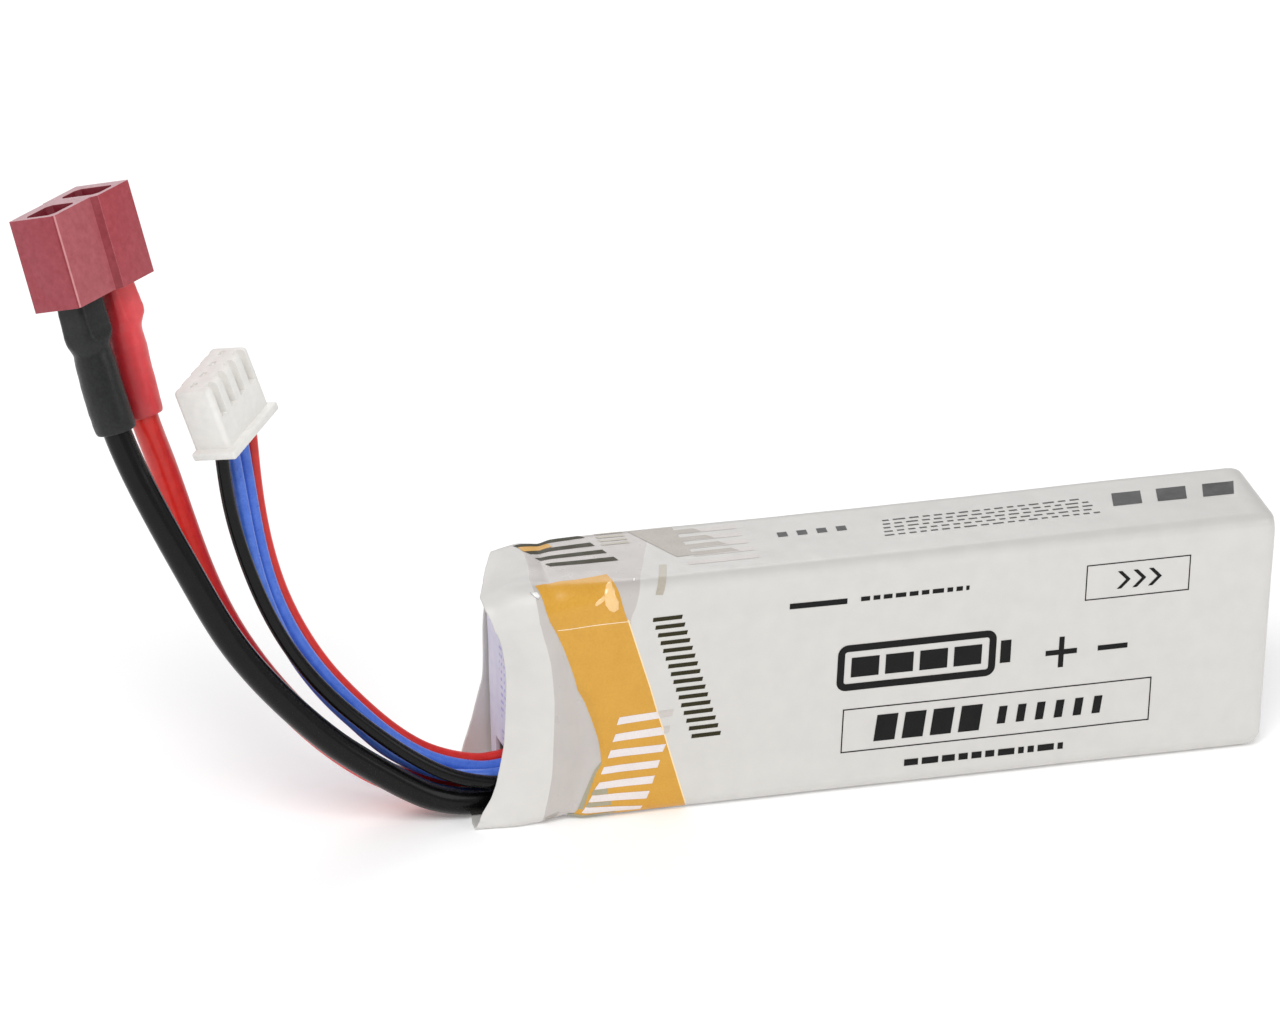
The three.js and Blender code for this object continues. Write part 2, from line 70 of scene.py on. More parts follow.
class Mat:
    """A Principled material whose colour, roughness and bump come from procedural nodes in object space."""

    def __init__(self, name, **fixed):
        self.mat = bpy.data.materials.new(name)
        self.mat.use_nodes = True
        self.nt = self.mat.node_tree
        self.nt.nodes.clear()
        self.out = self.nt.nodes.new("ShaderNodeOutputMaterial")
        self.bsdf = self.nt.nodes.new("ShaderNodeBsdfPrincipled")
        self.nt.links.new(self.bsdf.outputs[0], self.out.inputs[0])
        self.tc = self.nt.nodes.new("ShaderNodeTexCoord")
        for k, v in fixed.items():
            self.bsdf.inputs[k.replace("_", " ")].default_value = v
        self.height = None

    def link(self, a, b):
        self.nt.links.new(a, b)

    def noise(self, scale, detail=3.0, rough=0.55, stretch=None, seed=0.0):
        """Noise of the given number of features per millimetre."""
        mp = self.nt.nodes.new("ShaderNodeMapping")
        s = 1000.0
        mp.inputs["Scale"].default_value = (s, s, s) if stretch is None else tuple(s * q for q in stretch)
        mp.inputs["Location"].default_value = (seed, seed * 1.7, -seed)
        self.link(self.tc.outputs["Object"], mp.inputs["Vector"])
        n = self.nt.nodes.new("ShaderNodeTexNoise")
        n.inputs["Scale"].default_value = scale
        n.inputs["Detail"].default_value = detail
        n.inputs["Roughness"].default_value = rough
        self.link(mp.outputs[0], n.inputs["Vector"])
        return n.outputs[0]

    def voronoi(self, scale, seed=0.0):
        mp = self.nt.nodes.new("ShaderNodeMapping")
        mp.inputs["Scale"].default_value = (1000.0, 1000.0, 1000.0)
        mp.inputs["Location"].default_value = (seed, seed, seed)
        self.link(self.tc.outputs["Object"], mp.inputs["Vector"])
        n = self.nt.nodes.new("ShaderNodeTexVoronoi")
        n.inputs["Scale"].default_value = scale
        self.link(mp.outputs[0], n.inputs["Vector"])
        return n.outputs["Distance"]

    def ramp(self, fac, stops, mode="LINEAR"):
        r = self.nt.nodes.new("ShaderNodeValToRGB")
        r.color_ramp.interpolation = mode
        e = r.color_ramp.elements
        while len(e) > 1:
            e.remove(e[-1])
        e[0].position, e[0].color = stops[0]
        for p, c in stops[1:]:
            q = e.new(p)
            q.color = c
        self.link(fac, r.inputs[0])
        return r.outputs[0]

    def axis(self, which, lo, hi):
        """0 to 1 along one axis between two places in millimetres."""
        sep = self.nt.nodes.new("ShaderNodeSeparateXYZ")
        self.link(self.tc.outputs["Object"], sep.inputs[0])
        mr = self.nt.nodes.new("ShaderNodeMapRange")
        mr.inputs["From Min"].default_value = lo * MM
        mr.inputs["From Max"].default_value = hi * MM
        self.link(sep.outputs["XYZ".index(which)], mr.inputs["Value"])
        return mr.outputs[0]

    def along(self, at, way, lo, hi):
        """0 to 1 between two distances in millimetres from a place along a direction."""
        sub = self.nt.nodes.new("ShaderNodeVectorMath")
        sub.operation = "SUBTRACT"
        sub.inputs[1].default_value = tuple(v * MM for v in at)
        self.link(self.tc.outputs["Object"], sub.inputs[0])
        dot = self.nt.nodes.new("ShaderNodeVectorMath")
        dot.operation = "DOT_PRODUCT"
        dot.inputs[1].default_value = way
        self.link(sub.outputs[0], dot.inputs[0])
        mr = self.nt.nodes.new("ShaderNodeMapRange")
        mr.inputs["From Min"].default_value = lo * MM
        mr.inputs["From Max"].default_value = hi * MM
        self.link(dot.outputs["Value"], mr.inputs["Value"])
        return mr.outputs[0]

    def mix(self, fac, a, b, kind="MIX"):
        n = self.nt.nodes.new("ShaderNodeMix")
        n.data_type = "RGBA"
        n.blend_type = kind
        n.clamp_factor = True
        for sock, v in ((n.inputs[0], fac), (n.inputs[6], a), (n.inputs[7], b)):
            if isinstance(v, (int, float, tuple)):
                sock.default_value = v
            else:
                self.link(v, sock)
        return n.outputs[2]

    def color(self, sock):
        self.link(sock, self.bsdf.inputs["Base Color"])
        return self

    def rough(self, fac, lo, hi):
        mr = self.nt.nodes.new("ShaderNodeMapRange")
        mr.inputs["From Min"].default_value, mr.inputs["From Max"].default_value = 0.3, 0.7
        mr.inputs["To Min"].default_value, mr.inputs["To Max"].default_value = lo, hi
        self.link(fac, mr.inputs["Value"])
        self.link(mr.outputs[0], self.bsdf.inputs["Roughness"])
        return self

    def bump(self, fac, dist_mm, strength=1.0):
        b = self.nt.nodes.new("ShaderNodeBump")
        b.inputs["Strength"].default_value = strength
        b.inputs["Distance"].default_value = dist_mm * MM
        self.link(fac, b.inputs["Height"])
        if self.height is not None:
            self.link(self.height, b.inputs["Normal"])
        self.height = b.outputs[0]
        self.link(self.height, self.bsdf.inputs["Normal"])
        return self


def plain(name, rgb, lo, hi, spread=10, scale=1.2, bump=0.01, bscale=4.0, stretch=None, **fixed):
    """Two close tones mottled by noise, with varied roughness and a fine bump."""
    a = Mat(name, **fixed)
    n = a.noise(scale, 4.0, 0.6, stretch)
    dark = lin([max(0, v - spread) for v in rgb])
    lite = lin([min(255, v + spread) for v in rgb])
    a.color(a.ramp(n, [(0.3, dark), (0.7, lite)]))
    a.rough(a.noise(scale * 1.9, 3.0, 0.5, stretch, 3.1), lo, hi)
    a.bump(a.noise(bscale, 4.0, 0.6, stretch, 7.7), bump)
    return a


def film_material(name, rgb=None, rough=(0.28, 0.4), coat=0.12, tone=(214, 212, 208), spec=0.45):
    a = Mat(name, Specular_IOR_Level=spec, Coat_Weight=coat, Coat_Roughness=0.12, IOR=1.5)
    n = a.noise(0.35, 3.0, 0.5)
    if rgb is None:
        fine = a.ramp(n, [(0.3, (0.955, 0.955, 0.96, 1)), (0.7, (1, 1, 1, 1))])
        # painted shade: the plain film's colour is multiplied down by about a tenth towards the top face (z 30.7 to
        # 31.7 mm), standing in for the top face being less lit
        high = a.ramp(a.axis("Z", 30.7, 31.7), [(0.0, (1, 1, 1, 1)), (1.0, (0.885, 0.882, 0.885, 1))])
        a.color(a.mix(1.0, a.mix(1.0, lin(tone), fine, "MULTIPLY"), high, "MULTIPLY"))
    else:
        d = lin([max(0, v - 7) for v in rgb])
        l = lin([min(255, v + 5) for v in rgb])
        speck = a.noise(3.5, 2.0, 0.6, None, 5.0)
        a.color(a.mix(0.5, a.ramp(n, [(0.3, d), (0.7, l)]), a.ramp(speck, [(0.35, d), (0.65, l)])))
    a.rough(a.noise(0.6, 3.0, 0.5, None, 2.0), *rough)
    a.bump(a.noise(0.22, 2.0, 0.5, None, 9.0), 0.035)
    a.bump(a.noise(1.4, 2.0, 0.5, None, 4.0), 0.003)
    return a.mat


M = {}
M["film"] = film_material("film_white")
M["film_collar"] = film_material("film_collar", None, (0.42, 0.52), 0.08, (217, 215, 211))
# darker film tone from the collar's crest on over the recessed waist: partly the greyer look of bare film with no
# cell behind it, partly painted shade of the hollow
M["film_waist_grey_and_painted_shade"] = film_material("film_waist_grey_and_painted_shade", None, (0.26, 0.38), 0.25, (197, 191, 187))
# painted highlights: a lighter amber and a near white, standing in for glints on small raised blisters of film
M["film_blister_painted_highlight"] = film_material("film_blister_painted_highlight", (247, 204, 138), (0.12, 0.2), 0.6)
M["film_pucker_painted_highlight"] = film_material("film_pucker_painted_highlight", (240, 240, 239), (0.12, 0.2), 0.6)
M["print_cream"] = film_material("print_cream", (248, 224, 184))
M["print_shade"] = film_material("print_shade", (166, 160, 136))
M["print_amber"] = film_material("print_amber", (213, 158, 54))
M["print_olive"] = film_material("print_olive", (44, 40, 14), (0.34, 0.46), 0.05, spec=0.2)
M["print_grey"] = film_material("print_grey", (172, 165, 156))
M["print_pale"] = film_material("print_pale", (232, 224, 222))
M["print_black"] = film_material("print_black", (10, 10, 10), (0.34, 0.46), 0.03, spec=0.2)
M["print_tan"] = film_material("print_tan", (182, 175, 161))

pad = Mat("end_card", Roughness=0.85)
lines = pad.nt.nodes.new("ShaderNodeTexWave")
lines.wave_type, lines.bands_direction = "BANDS", "Z"
lines.inputs["Scale"].default_value = 300.0
lines.inputs["Distortion"].default_value = 0.0
pad.link(pad.tc.outputs["Object"], lines.inputs["Vector"])
rows = pad.ramp(lines.outputs[1], [(0.62, (0, 0, 0, 1)), (0.72, (1, 1, 1, 1))])
gaps = pad.ramp(pad.noise(1.6, 1.0, 0.4, (1, 1, 0.08)), [(0.47, (0, 0, 0, 1)), (0.5, (1, 1, 1, 1))])
ink = pad.mix(1.0, rows, gaps, "MULTIPLY")
zone = pad.ramp(pad.axis("Y", -7.0, 7.0), [(0.0, (1, 1, 1, 1)), (0.62, (1, 1, 1, 1)), (0.64, (0, 0, 0, 1))], "LINEAR")
ink = pad.mix(1.0, ink, zone, "MULTIPLY")
paper = pad.ramp(pad.noise(0.5, 3.0), [(0.3, lin((222, 219, 236))), (0.7, lin((231, 229, 243)))])
pad.color(pad.mix(ink, paper, lin((188, 182, 226))))
pad.bump(pad.noise(6.0, 3.0), 0.01)
M["card"] = pad.mat


def silicone(name, rgb, dark, rough=(0.32, 0.45), coat=0.15, spec=0.5):
    a = Mat(name, Specular_IOR_Level=spec, Coat_Weight=coat, Coat_Roughness=0.1)
    n = a.noise(0.8, 4.0, 0.6)
    fine = a.noise(7.0, 2.0, 0.6, None, 2.0)
    a.color(a.mix(0.35, a.ramp(n, [(0.3, lin(dark)), (0.7, lin(rgb))]), a.ramp(fine, [(0.35, lin(dark)), (0.68, lin(rgb))])))
    a.rough(a.noise(1.5, 3.0, 0.5, None, 5.0), *rough)
    a.bump(a.noise(2.2, 3.0, 0.6, None, 8.0), 0.012)
    return a.mat


M["si_black"] = silicone("silicone_black", (14, 14, 14), (7, 7, 7), (0.22, 0.32), 0.18, 0.12)
M["si_red"] = silicone("silicone_red", (222, 44, 36), (200, 30, 24), (0.28, 0.4), 0.15, 0.35)
M["si_blue"] = silicone("silicone_blue", (84, 126, 222), (56, 98, 200), (0.26, 0.38), 0.15, 0.35)
M["sh_black"] = plain("sleeve_black", (22, 23, 23), 0.3, 0.46, 8, 2.6, 0.02, 2.4, Specular_IOR_Level=0.35).mat
sh = Mat("sleeve_red", Coat_Weight=0.12, Coat_Roughness=0.3, Subsurface_Weight=0.1, Subsurface_Radius=(0.002, 0.0007, 0.0006))
# painted light and shade across the red sleeve: dark red on the side towards the black sleeve, bright pinkish red on
# the far side, graded along the plug's x direction
side = sh.along((-95.08, 8.89, 62.65), (0.7946, 0.6071, 0.0015), -2.5, 1.7)
mott = sh.ramp(sh.noise(0.8, 4.0, 0.6), [(0.3, (0.86, 0.86, 0.86, 1)), (0.7, (1, 1, 1, 1))])
sh.color(sh.mix(1.0, sh.ramp(side, [(0.0, lin((168, 34, 42))), (0.35, lin((212, 54, 60))), (0.75, lin((236, 82, 86)))]), mott, "MULTIPLY"))
sh.rough(sh.noise(1.4, 3.0, 0.5, None, 3.1), 0.34, 0.48)
sh.bump(sh.noise(1.6, 4.0, 0.6, None, 7.7), 0.02)
M["sh_red"] = sh.mat
# lit and shaded copies of the one red nylon: darker copies for the left face, the front step and the front right
# face, and for the slot interiors, are painted shade; lighter copies for the bevelled edges and the top face are
# painted highlights
for key_, rgb_ in (("nylon_red", (166, 80, 87)), ("nylon_side", (150, 54, 66)), ("nylon_step", (136, 42, 52)), ("nylon_right", (163, 58, 68)),
                   ("nylon_edge", (198, 132, 136)), ("nylon_rim", (200, 158, 164)), ("nylon_deep", (122, 26, 42))):
    M[key_] = plain(key_, rgb_, 0.38, 0.54, 8, 1.1, 0.01, 5.0, Specular_IOR_Level=0.5).mat
M["nylon_white"] = plain("nylon_white", (230, 228, 224), 0.42, 0.55, 4, 0.8, 0.006, 4.0, Subsurface_Weight=0.15, Subsurface_Radius=(0.0015, 0.0014, 0.0012)).mat
M["foil"] = plain("pouch_foil", (190, 192, 196), 0.3, 0.45, 8, 0.4, 0.03, 0.8, Metallic=0.9).mat
M["alu"] = plain("tab_aluminium", (200, 202, 205), 0.35, 0.5, 8, 2.0, 0.01, 3.0, (0.2, 1, 4), Metallic=1.0).mat
M["nickel"] = plain("tab_nickel", (184, 180, 170), 0.25, 0.42, 8, 2.0, 0.01, 3.0, (0.2, 1, 4), Metallic=1.0).mat
M["tape"] = plain("cell_tape", (233, 226, 200), 0.6, 0.75, 6, 1.0, 0.02, 2.0).mat
M["amber"] = plain("binding_tape", (205, 140, 46), 0.25, 0.38, 10, 0.5, 0.02, 1.0, Coat_Weight=0.3).mat
M["grey_card"] = plain("insulation_card", (200, 206, 211), 0.75, 0.9, 6, 2.0, 0.01, 6.0).mat
M["board"] = plain("board_green", (44, 100, 60), 0.3, 0.45, 10, 0.8, 0.01, 2.0, Coat_Weight=0.3).mat
M["solder"] = plain("solder", (196, 198, 200), 0.22, 0.42, 12, 1.5, 0.04, 1.2, Metallic=1.0).mat
M["gold"] = plain("contact_gold", (222, 184, 96), 0.18, 0.34, 12, 1.2, 0.01, 3.0, (1, 1, 0.2), Metallic=1.0).mat
M["steel"] = plain("spring_steel", (200, 202, 204), 0.2, 0.36, 8, 1.6, 0.008, 4.0, (1, 1, 0.15), Metallic=1.0).mat
M["tin"] = plain("terminal_tin", (196, 197, 198), 0.25, 0.4, 8, 1.6, 0.01, 3.0, Metallic=1.0).mat


# ------------------------------------------------------------------ mesh helpers
def link(o):
    bpy.context.scene.collection.objects.link(o)
    return o


def make(name, verts, faces, mats, smooth=True, face_mats=None):
    me = bpy.data.meshes.new(name)
    me.from_pydata([Vector(v) * MM for v in verts], [], faces)
    me.validate()
    for mt in mats:
        me.materials.append(mt)
    if face_mats:
        for p, k in zip(me.polygons, face_mats):
            p.material_index = k
    for p in me.polygons:
        p.use_smooth = smooth
    me.update()
    return link(bpy.data.objects.new(name, me))


def apply_mods(o):
    deps = bpy.context.evaluated_depsgraph_get()
    me = bpy.data.meshes.new_from_object(o.evaluated_get(deps))
    o.modifiers.clear()
    old = o.data
    o.data = me
    me.name = o.name
    if old.users == 0:
        bpy.data.meshes.remove(old)
    return o


def smooth_by_angle(o, deg=35):
    me = o.data
    for p in me.polygons:
        p.use_smooth = True
    bm = bmesh.new()
    bm.from_mesh(me)
    for e in bm.edges:
        e.smooth = len(e.link_faces) == 2 and e.calc_face_angle(0) < math.radians(deg)
    bm.to_mesh(me)
    bm.free()


def grid_faces(rows, cols, closed=False):
    out = []
    for i in range(rows - 1):
        for j in range(cols if closed else cols - 1):
            a, b = i * cols + j, i * cols + (j + 1) % cols
            out.append((a, b, b + cols, a + cols))
    return out


# ------------------------------------------------------------------ film sleeve surface
LF, LA, LT = H - 2 * R0, R0 * math.pi / 2, 2 * HY - 2 * R0
PER = 2 * (LF + LT) + 4 * LA
SEGS = [LF, LA, LT, LA, LF, LA, LT, LA]


def around(table, p):
    """Smooth periodic interpolation of (p, value) pairs round the perimeter."""
    p %= PER
    n = len(table)
    for i in range(n):
        p0, v0 = table[i]
        p1, v1 = table[(i + 1) % n]
        if i == n - 1:
            p1 += PER
        q = p if p >= p0 else p + PER
        if p0 <= q <= p1:
            pa, va = table[i - 1]
            pb, vb = table[(i + 2) % n]
            if pa > p0:
                pa -= PER
            if pb < p1:
                pb += PER
            s = (v1 - v0) / (p1 - p0)
            sa, sb = (v0 - va) / (p0 - pa), (vb - v1) / (pb - p1)
            m0 = 0.0 if sa * s <= 0 else 2 * sa * s / (sa + s)
            m1 = 0.0 if sb * s <= 0 else 2 * sb * s / (sb + s)
            h = p1 - p0
            t = (q - p0) / h
            return ((1 + 2 * t) * (1 - t) ** 2 * v0 + t * (1 - t) ** 2 * h * m0 + t * t * (3 - 2 * t) * v1 + t * t * (t - 1) * h * m1)
    return table[0][1]


UE = [(0, -1.1), (1.5, -0.3), (3, 0.7), (5.5, 1.5), (11.5, 2.2), (18, 2.1), (21, 1.9), (24.5, 1.3), (27.1, 0.55), (28.8, -0.3), (29.9, -0.85), (31, -0.8),
      (32.6, -0.35), (35.2, 0.4), (39.6, 1.7), (43.3, 3.2), (45, 3.9), (46.5, 4.2), (54.5, 3.5), (62.7, 3.8), (66.5, 3.2), (69.8, 2.6), (72.4, 2.0),
      (74.2, 1.6), (77, 1.2), (84, -0.3), (90, -1.6), (91.5, -1.5)]
DE = [(0, 1.0), (3, 1.9), (7, 2.35), (15, 2.4), (23, 2.2), (27, 1.85), (30, 2.1), (35.2, 1.8), (39.6, 1.3), (43.3, 0.6), (46.5, 0.45), (52, 0.35),
      (60.5, 0.3), (70, 0.2), (76, 0.15), (83.8, 0.12), (90, 0.12), (91.5, 0.4)]
UC = [(0, 7.1), (6.5, 7.85), (14.5, 7.75), (21, 7.1), (27, 5.6), (29.5, 5.0), (31, 5.1), (34, 5.8), (41, 7.0), (46, 7.4), (60.5, 7.2), (76, 6.8), (84, 6.6), (90, 6.7)]
UB = [(0, 12.4), (7, 14.3), (13, 13.2), (19, 10.6), (25, 8.9), (30, 8.6), (37, 9.2), (46, 11.5), (60.5, 14.0), (76, 12.5), (84, 11.2), (90, 11.6)]
OVER = [(0, 24.6), (12, 20.8), (25.3, 17.2), (26.8, 17.7), (30, 18.5), (35.7, 20.9), (43.7, 23.7), (46.5, 22.5), (60, 18.0), (76, 18.0), (84, 20.0), (90, 24.0)]
DV = [(0, 0.62), (7, 1.05), (13, 0.95), (19, 0.60), (25, 0.30), (30, 0.2), (37, 0.14), (46, 0.4), (60.5, 0.9), (76, 0.5), (84, 0.30), (90, 0.45)]


def catmull(pts, per):
    out = []
    n = len(pts)
    for i in range(n - 1):
        p0, p1, p2, p3 = pts[max(i - 1, 0)], pts[i], pts[i + 1], pts[min(i + 2, n - 1)]
        for k in range(per):
            t = k / per
            out.append(tuple(0.5 * (2 * b + (c - a) * t + (2 * a - 5 * b + 4 * c - d) * t * t + (-a + 3 * b - 3 * c + d) * t ** 3)
                             for a, b, c, d in zip(p0, p1, p2, p3)))
    out.append(tuple(pts[-1]))
    return out


PROFILES = {}
CREST = 25          # index of the collar's crest in a profile


def profile(p):
    """(u, inset) from the mouth edge to where the sleeve is straight, at perimeter place p."""
    key = round((p % PER) * 8)
    if key not in PROFILES:
        p = key / 8
        ue, de, uc, ub, dv, ov = (around(t, p) for t in (UE, DE, UC, UB, DV, OVER))
        w = uc - ue
        pts = [(ue, de), (ue + 0.18 * w, de * 0.80), (ue + 0.45 * w, de * 0.46), (ue + 0.72 * w, de * 0.19), (uc - 0.45, de * 0.045),
               (uc, 0.0), (uc + 0.5, dv * 0.16), (uc + 0.30 * (ub - uc) + 0.3, dv * 0.5), (uc + 0.66 * (ub - uc), dv * 0.96), (ub - 0.7, dv * 0.72),
               (ub + 0.25, dv * 0.10), (ub + 1.2, 0.0), (ub + 2.0, 0.0)] + [(ub + 2.0 + (ov - ub - 2.0) * k / 5, 0.0) for k in (1, 2, 3, 4, 5)]
        PROFILES[key] = catmull(pts, 5)
    return PROFILES[key]


def inset(u, p):
    pr = profile(p)
    if u >= pr[-1][0]:
        return 0.0
    if u <= pr[0][0]:
        return pr[0][1]
    lo, hi = 0, len(pr) - 1
    while hi - lo > 1:
        mid = (lo + hi) // 2
        if pr[mid][0] <= u:
            lo = mid
        else:
            hi = mid
    a, b = pr[lo], pr[hi]
    t = (u - a[0]) / max(1e-6, b[0] - a[0])
    return a[1] + (b[1] - a[1]) * t


def bulge(u, p):
    """The collar's standing edge is pushed out a little."""
    q = p if p < PER / 2 else p - PER
    if u > 10 or abs(q - 0.5) > 5.5:
        return 0.0
    return 0.32 * math.cos(math.pi * (q - 0.5) / 11.0) ** 2 * math.exp(-((u - 3.5) / 3.0) ** 2)


def corner(u):
    """Radii of the section's corners along the pack: printed face low and high, back high and low."""
    if u >= 17:
        r = R0 + 0.5 * max(0.0, (u - 101.0) / 2.0)
        return r, r, r, r
    t = min(1.0, max(0.0, (17 - u) / 17.0)) ** 1.35
    return R0 - 0.7 * t, R0 + 3.4 * t, R0 + 0.8 * t, R0 + 2.0 * t


def section(p, r):
    if not isinstance(r, tuple):
        r = (r, r, r, r)
    ra, rb, rc, rd = r
    p %= PER
    k = 0
    while p > SEGS[k] and k < 7:
        p -= SEGS[k]
        k += 1
    f = min(1.0, p / SEGS[k])
    y0, y1, z0, z1 = -HY, HY, 0.0, H
    if k == 0:
        return (y0, z0 + ra + f * (H - ra - rb)), (-1, 0)
    if k == 2:
        return (y0 + rb + f * (2 * HY - rb - rc), z1), (0, 1)
    if k == 4:
        return (y1, z1 - rc - f * (H - rc - rd)), (1, 0)
    if k == 6:
        return (y1 - rd - f * (2 * HY - ra - rd), z0), (0, -1)
    c, a0, rr = {1: ((y0 + rb, z1 - rb), 180, rb), 3: ((y1 - rc, z1 - rc), 90, rc), 5: ((y1 - rd, z0 + rd), 0, rd), 7: ((y0 + ra, z0 + ra), 270, ra)}[k]
    a = math.radians(a0 - 90 * f)
    n = (math.cos(a), math.sin(a))
    return (c[0] + rr * n[0], c[1] + rr * n[1]), n


def wobble(x, y, z, u):
    """Small unevenness of shrunk film, in millimetres, inwards positive."""
    near = max(0.0, 1.0 - max(0.0, u - 14) / 10.0)
    a = noise.noise(Vector((x * 0.045, y * 0.06, z * 0.07 + 3.0))) * 0.10
    b = noise.noise(Vector((x * 0.16 + 7, y * 0.18, z * 0.2))) * (0.03 + 0.05 * near)
    c = noise.noise(Vector((x * 0.5, y * 0.5 + 11, z * 0.5))) * (0.004 + 0.009 * near)
    return 0.09 + a + b + c


def crown(z, u):
    """The film stands a little proud over the top edge, more so towards the far end."""
    t = min(1.0, max(0.0, (z - 28.3) / 2.9))
    g = min(1.0, max(0.0, (u - 50.0) / 45.0))
    return z + (0.45 + 0.3 * g) * t * t * (3 - 2 * t)


def reach(x, y, z):
    """The top back corner of the far end reaches out a little."""
    a = min(1.0, max(0.0, (x + HX - 92.0) / 11.0))
    b = min(1.0, max(0.0, (z - 20.0) / 11.0))
    c = min(1.0, max(0.0, (y + HY) / 16.5))
    return x + 1.1 * a * a * (3 - 2 * a) * b * b * (3 - 2 * b) * c


def F(u, p, lift=0.0):
    """A point of the film's outside in millimetres in the row frame."""
    (y, z), n = section(p, corner(u))
    d = inset(u, p) - bulge(u, p % PER)
    y -= n[0] * d
    z -= n[1] * d
    w = wobble(u, y, z, u)
    fade = 1.0 if u < 100 else max(0.3, 1 - (u - 100) / 3)
    y -= n[0] * (w * fade - lift)
    z -= n[1] * (w * fade - lift)
    z = crown(max(z, 0.0 if lift == 0 else -0.02), u)
    return Vector((reach(u - HX, y, z), y, z))


def FN(u, p, lift):
    """The same, lifted along the true surface normal."""
    e = 0.12
    du = F(u + e, p) - F(u - e, p)
    dp = F(u, p + e) - F(u, p - e)
    n = dp.cross(du)
    if n.length < 1e-9:
        return F(u, p)
    n.normalize()
    (y, z), s = section(p, corner(u))
    if n.y * s[0] + n.z * s[1] < 0:
        n = -n
    return F(u, p) + n * lift


def front(z):
    """Perimeter place of a height on the printed face (runs on over the top edge)."""
    if z <= R0:
        return z - R0 if z > 0 else z - R0
    return z - R0


def top(y):
    """Perimeter place of a depth on the top edge."""
    return LF + LA + (y + HY - R0)


cols = 236
ps = [PER * j / cols for j in range(cols)]
verts = []
kinds = []
rows = 0
over = [around(OVER, p) for p in ps]
NFRONT = 92
for i in range(NFRONT):
    f = i / NFRONT
    for p in ps:
        pr = profile(p)
        x = f * (len(pr) - 1)
        a = int(x)
        b = min(a + 1, len(pr) - 1)
        u = pr[a][0] + (pr[b][0] - pr[a][0]) * (x - a)
        verts.append(F(u, p))
    # faces from the collar's crest on take the darker film tone, painted shade of the recessed waist
    kinds.extend(1 if (i + 0.5) / NFRONT * (len(pr) - 1) < CREST else 2 for p in ps)
    rows += 1
for i in range(65):
    verts.extend(F(v + (101.0 - v) * i / 64, p) for v, p in zip(over, ps))
    kinds.extend([0] * cols)
    rows += 1
# far end: round the edge, then fold in over the rear card with shallow pleats
END = [(101.6, 0.05), (102.1, 0.16), (102.5, 0.36), (102.78, 0.62), (102.92, 0.95), (102.98, 1.4), (102.99, 1.9), (102.97, 2.5), (102.93, 3.1), (102.88, 3.75), (102.84, 4.3)]
for i, (u, d) in enumerate(END):
    for p in ps:
        (y, z), n = section(p, R0 + d * 0.75)
        fold = 0.10 * math.sin(p * 1.9 + 2.1 * noise.noise(Vector((p * 0.13, 0, 0)))) * min(1.0, max(0.0, (d - 0.8) / 2.0))
        fold += 0.12 * noise.noise(Vector((p * 0.35, d * 0.5, 4)))
        dd = d + (0.35 * noise.noise(Vector((p * 0.18, 9.0, 1.0))) if i > 7 else 0.0) + 0.09
        yy, zz = y - n[0] * dd, crown(max(z - n[1] * dd, 0), u)
        verts.append(Vector((reach(min(u - abs(fold) * (0.2 if d < 1 else 1.0), 103.0) - HX, yy, zz), yy, zz)))
    rows += 1
kinds += [0] * (rows * cols)
film = make("film_sleeve", verts, grid_faces(rows, cols, True), [M["film"], M["film_collar"], M["film_waist_grey_and_painted_shade"]], True, kinds)
bm = bmesh.new()
bm.from_mesh(film.data)
bmesh.ops.recalc_face_normals(bm, faces=bm.faces)
vol = sum((f.normal.y * f.calc_center_median().y) for f in bm.faces)
if vol < 0:
    bmesh.ops.reverse_faces(bm, faces=bm.faces)
bm.to_mesh(film.data)
bm.free()
sol = film.modifiers.new("thick", "SOLIDIFY")
sol.thickness = 0.26 * MM
sol.offset = -1.0
sol.use_even_offset = False
apply_mods(film)
for p_ in film.data.polygons:
    p_.use_smooth = True
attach(film, "pack")
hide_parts("wrap_film")


# ------------------------------------------------------------------ print on the film
def patch(acc, c00, c10, c11, c01, lift, nu=None, nv=None):
    """A quadrilateral of ink given by four (u, p) corners, laid on the film."""
    verts, faces = acc
    lu = max(abs(c10[0] - c00[0]), abs(c11[0] - c01[0]), abs(c10[1] - c00[1]))
    lv = max(abs(c01[1] - c00[1]), abs(c11[1] - c10[1]), abs(c01[0] - c00[0]))
    nu = nu or max(2, int(lu / 0.45) + 1)
    nv = nv or max(2, int(lv / 0.45) + 1)
    base = len(verts)
    for j in range(nv + 1):
        b = j / nv
        for i in range(nu + 1):
            a = i / nu
            u = (1 - b) * ((1 - a) * c00[0] + a * c10[0]) + b * ((1 - a) * c01[0] + a * c11[0])
            p = (1 - b) * ((1 - a) * c00[1] + a * c10[1]) + b * ((1 - a) * c01[1] + a * c11[1])
            verts.append(FN(u, p, lift))
    for j in range(nv):
        for i in range(nu):
            k = base + j * (nu + 1) + i
            faces.append((k, k + 1, k + nu + 2, k + nu + 1))


def ink_object(name, acc, mat):
    o = make(name, acc[0], acc[1], [mat])
    b = bmesh.new()
    b.from_mesh(o.data)
    for f in b.faces:                     # ink faces away from the pack's middle
        c = f.calc_center_median()
        out = Vector((0, c.y, c.z - H / 2 * MM))
        if abs(c.z - H * MM) < 0.0012 and abs(c.y) < 0.0075:
            out = Vector((0, 0, 1))
        elif abs(c.y) > 0.006:
            out = Vector((0, c.y, 0))
        if f.normal.dot(out) < 0:
            f.normal_flip()
    b.to_mesh(o.data)
    b.free()
    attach(o, "pack")
    return o


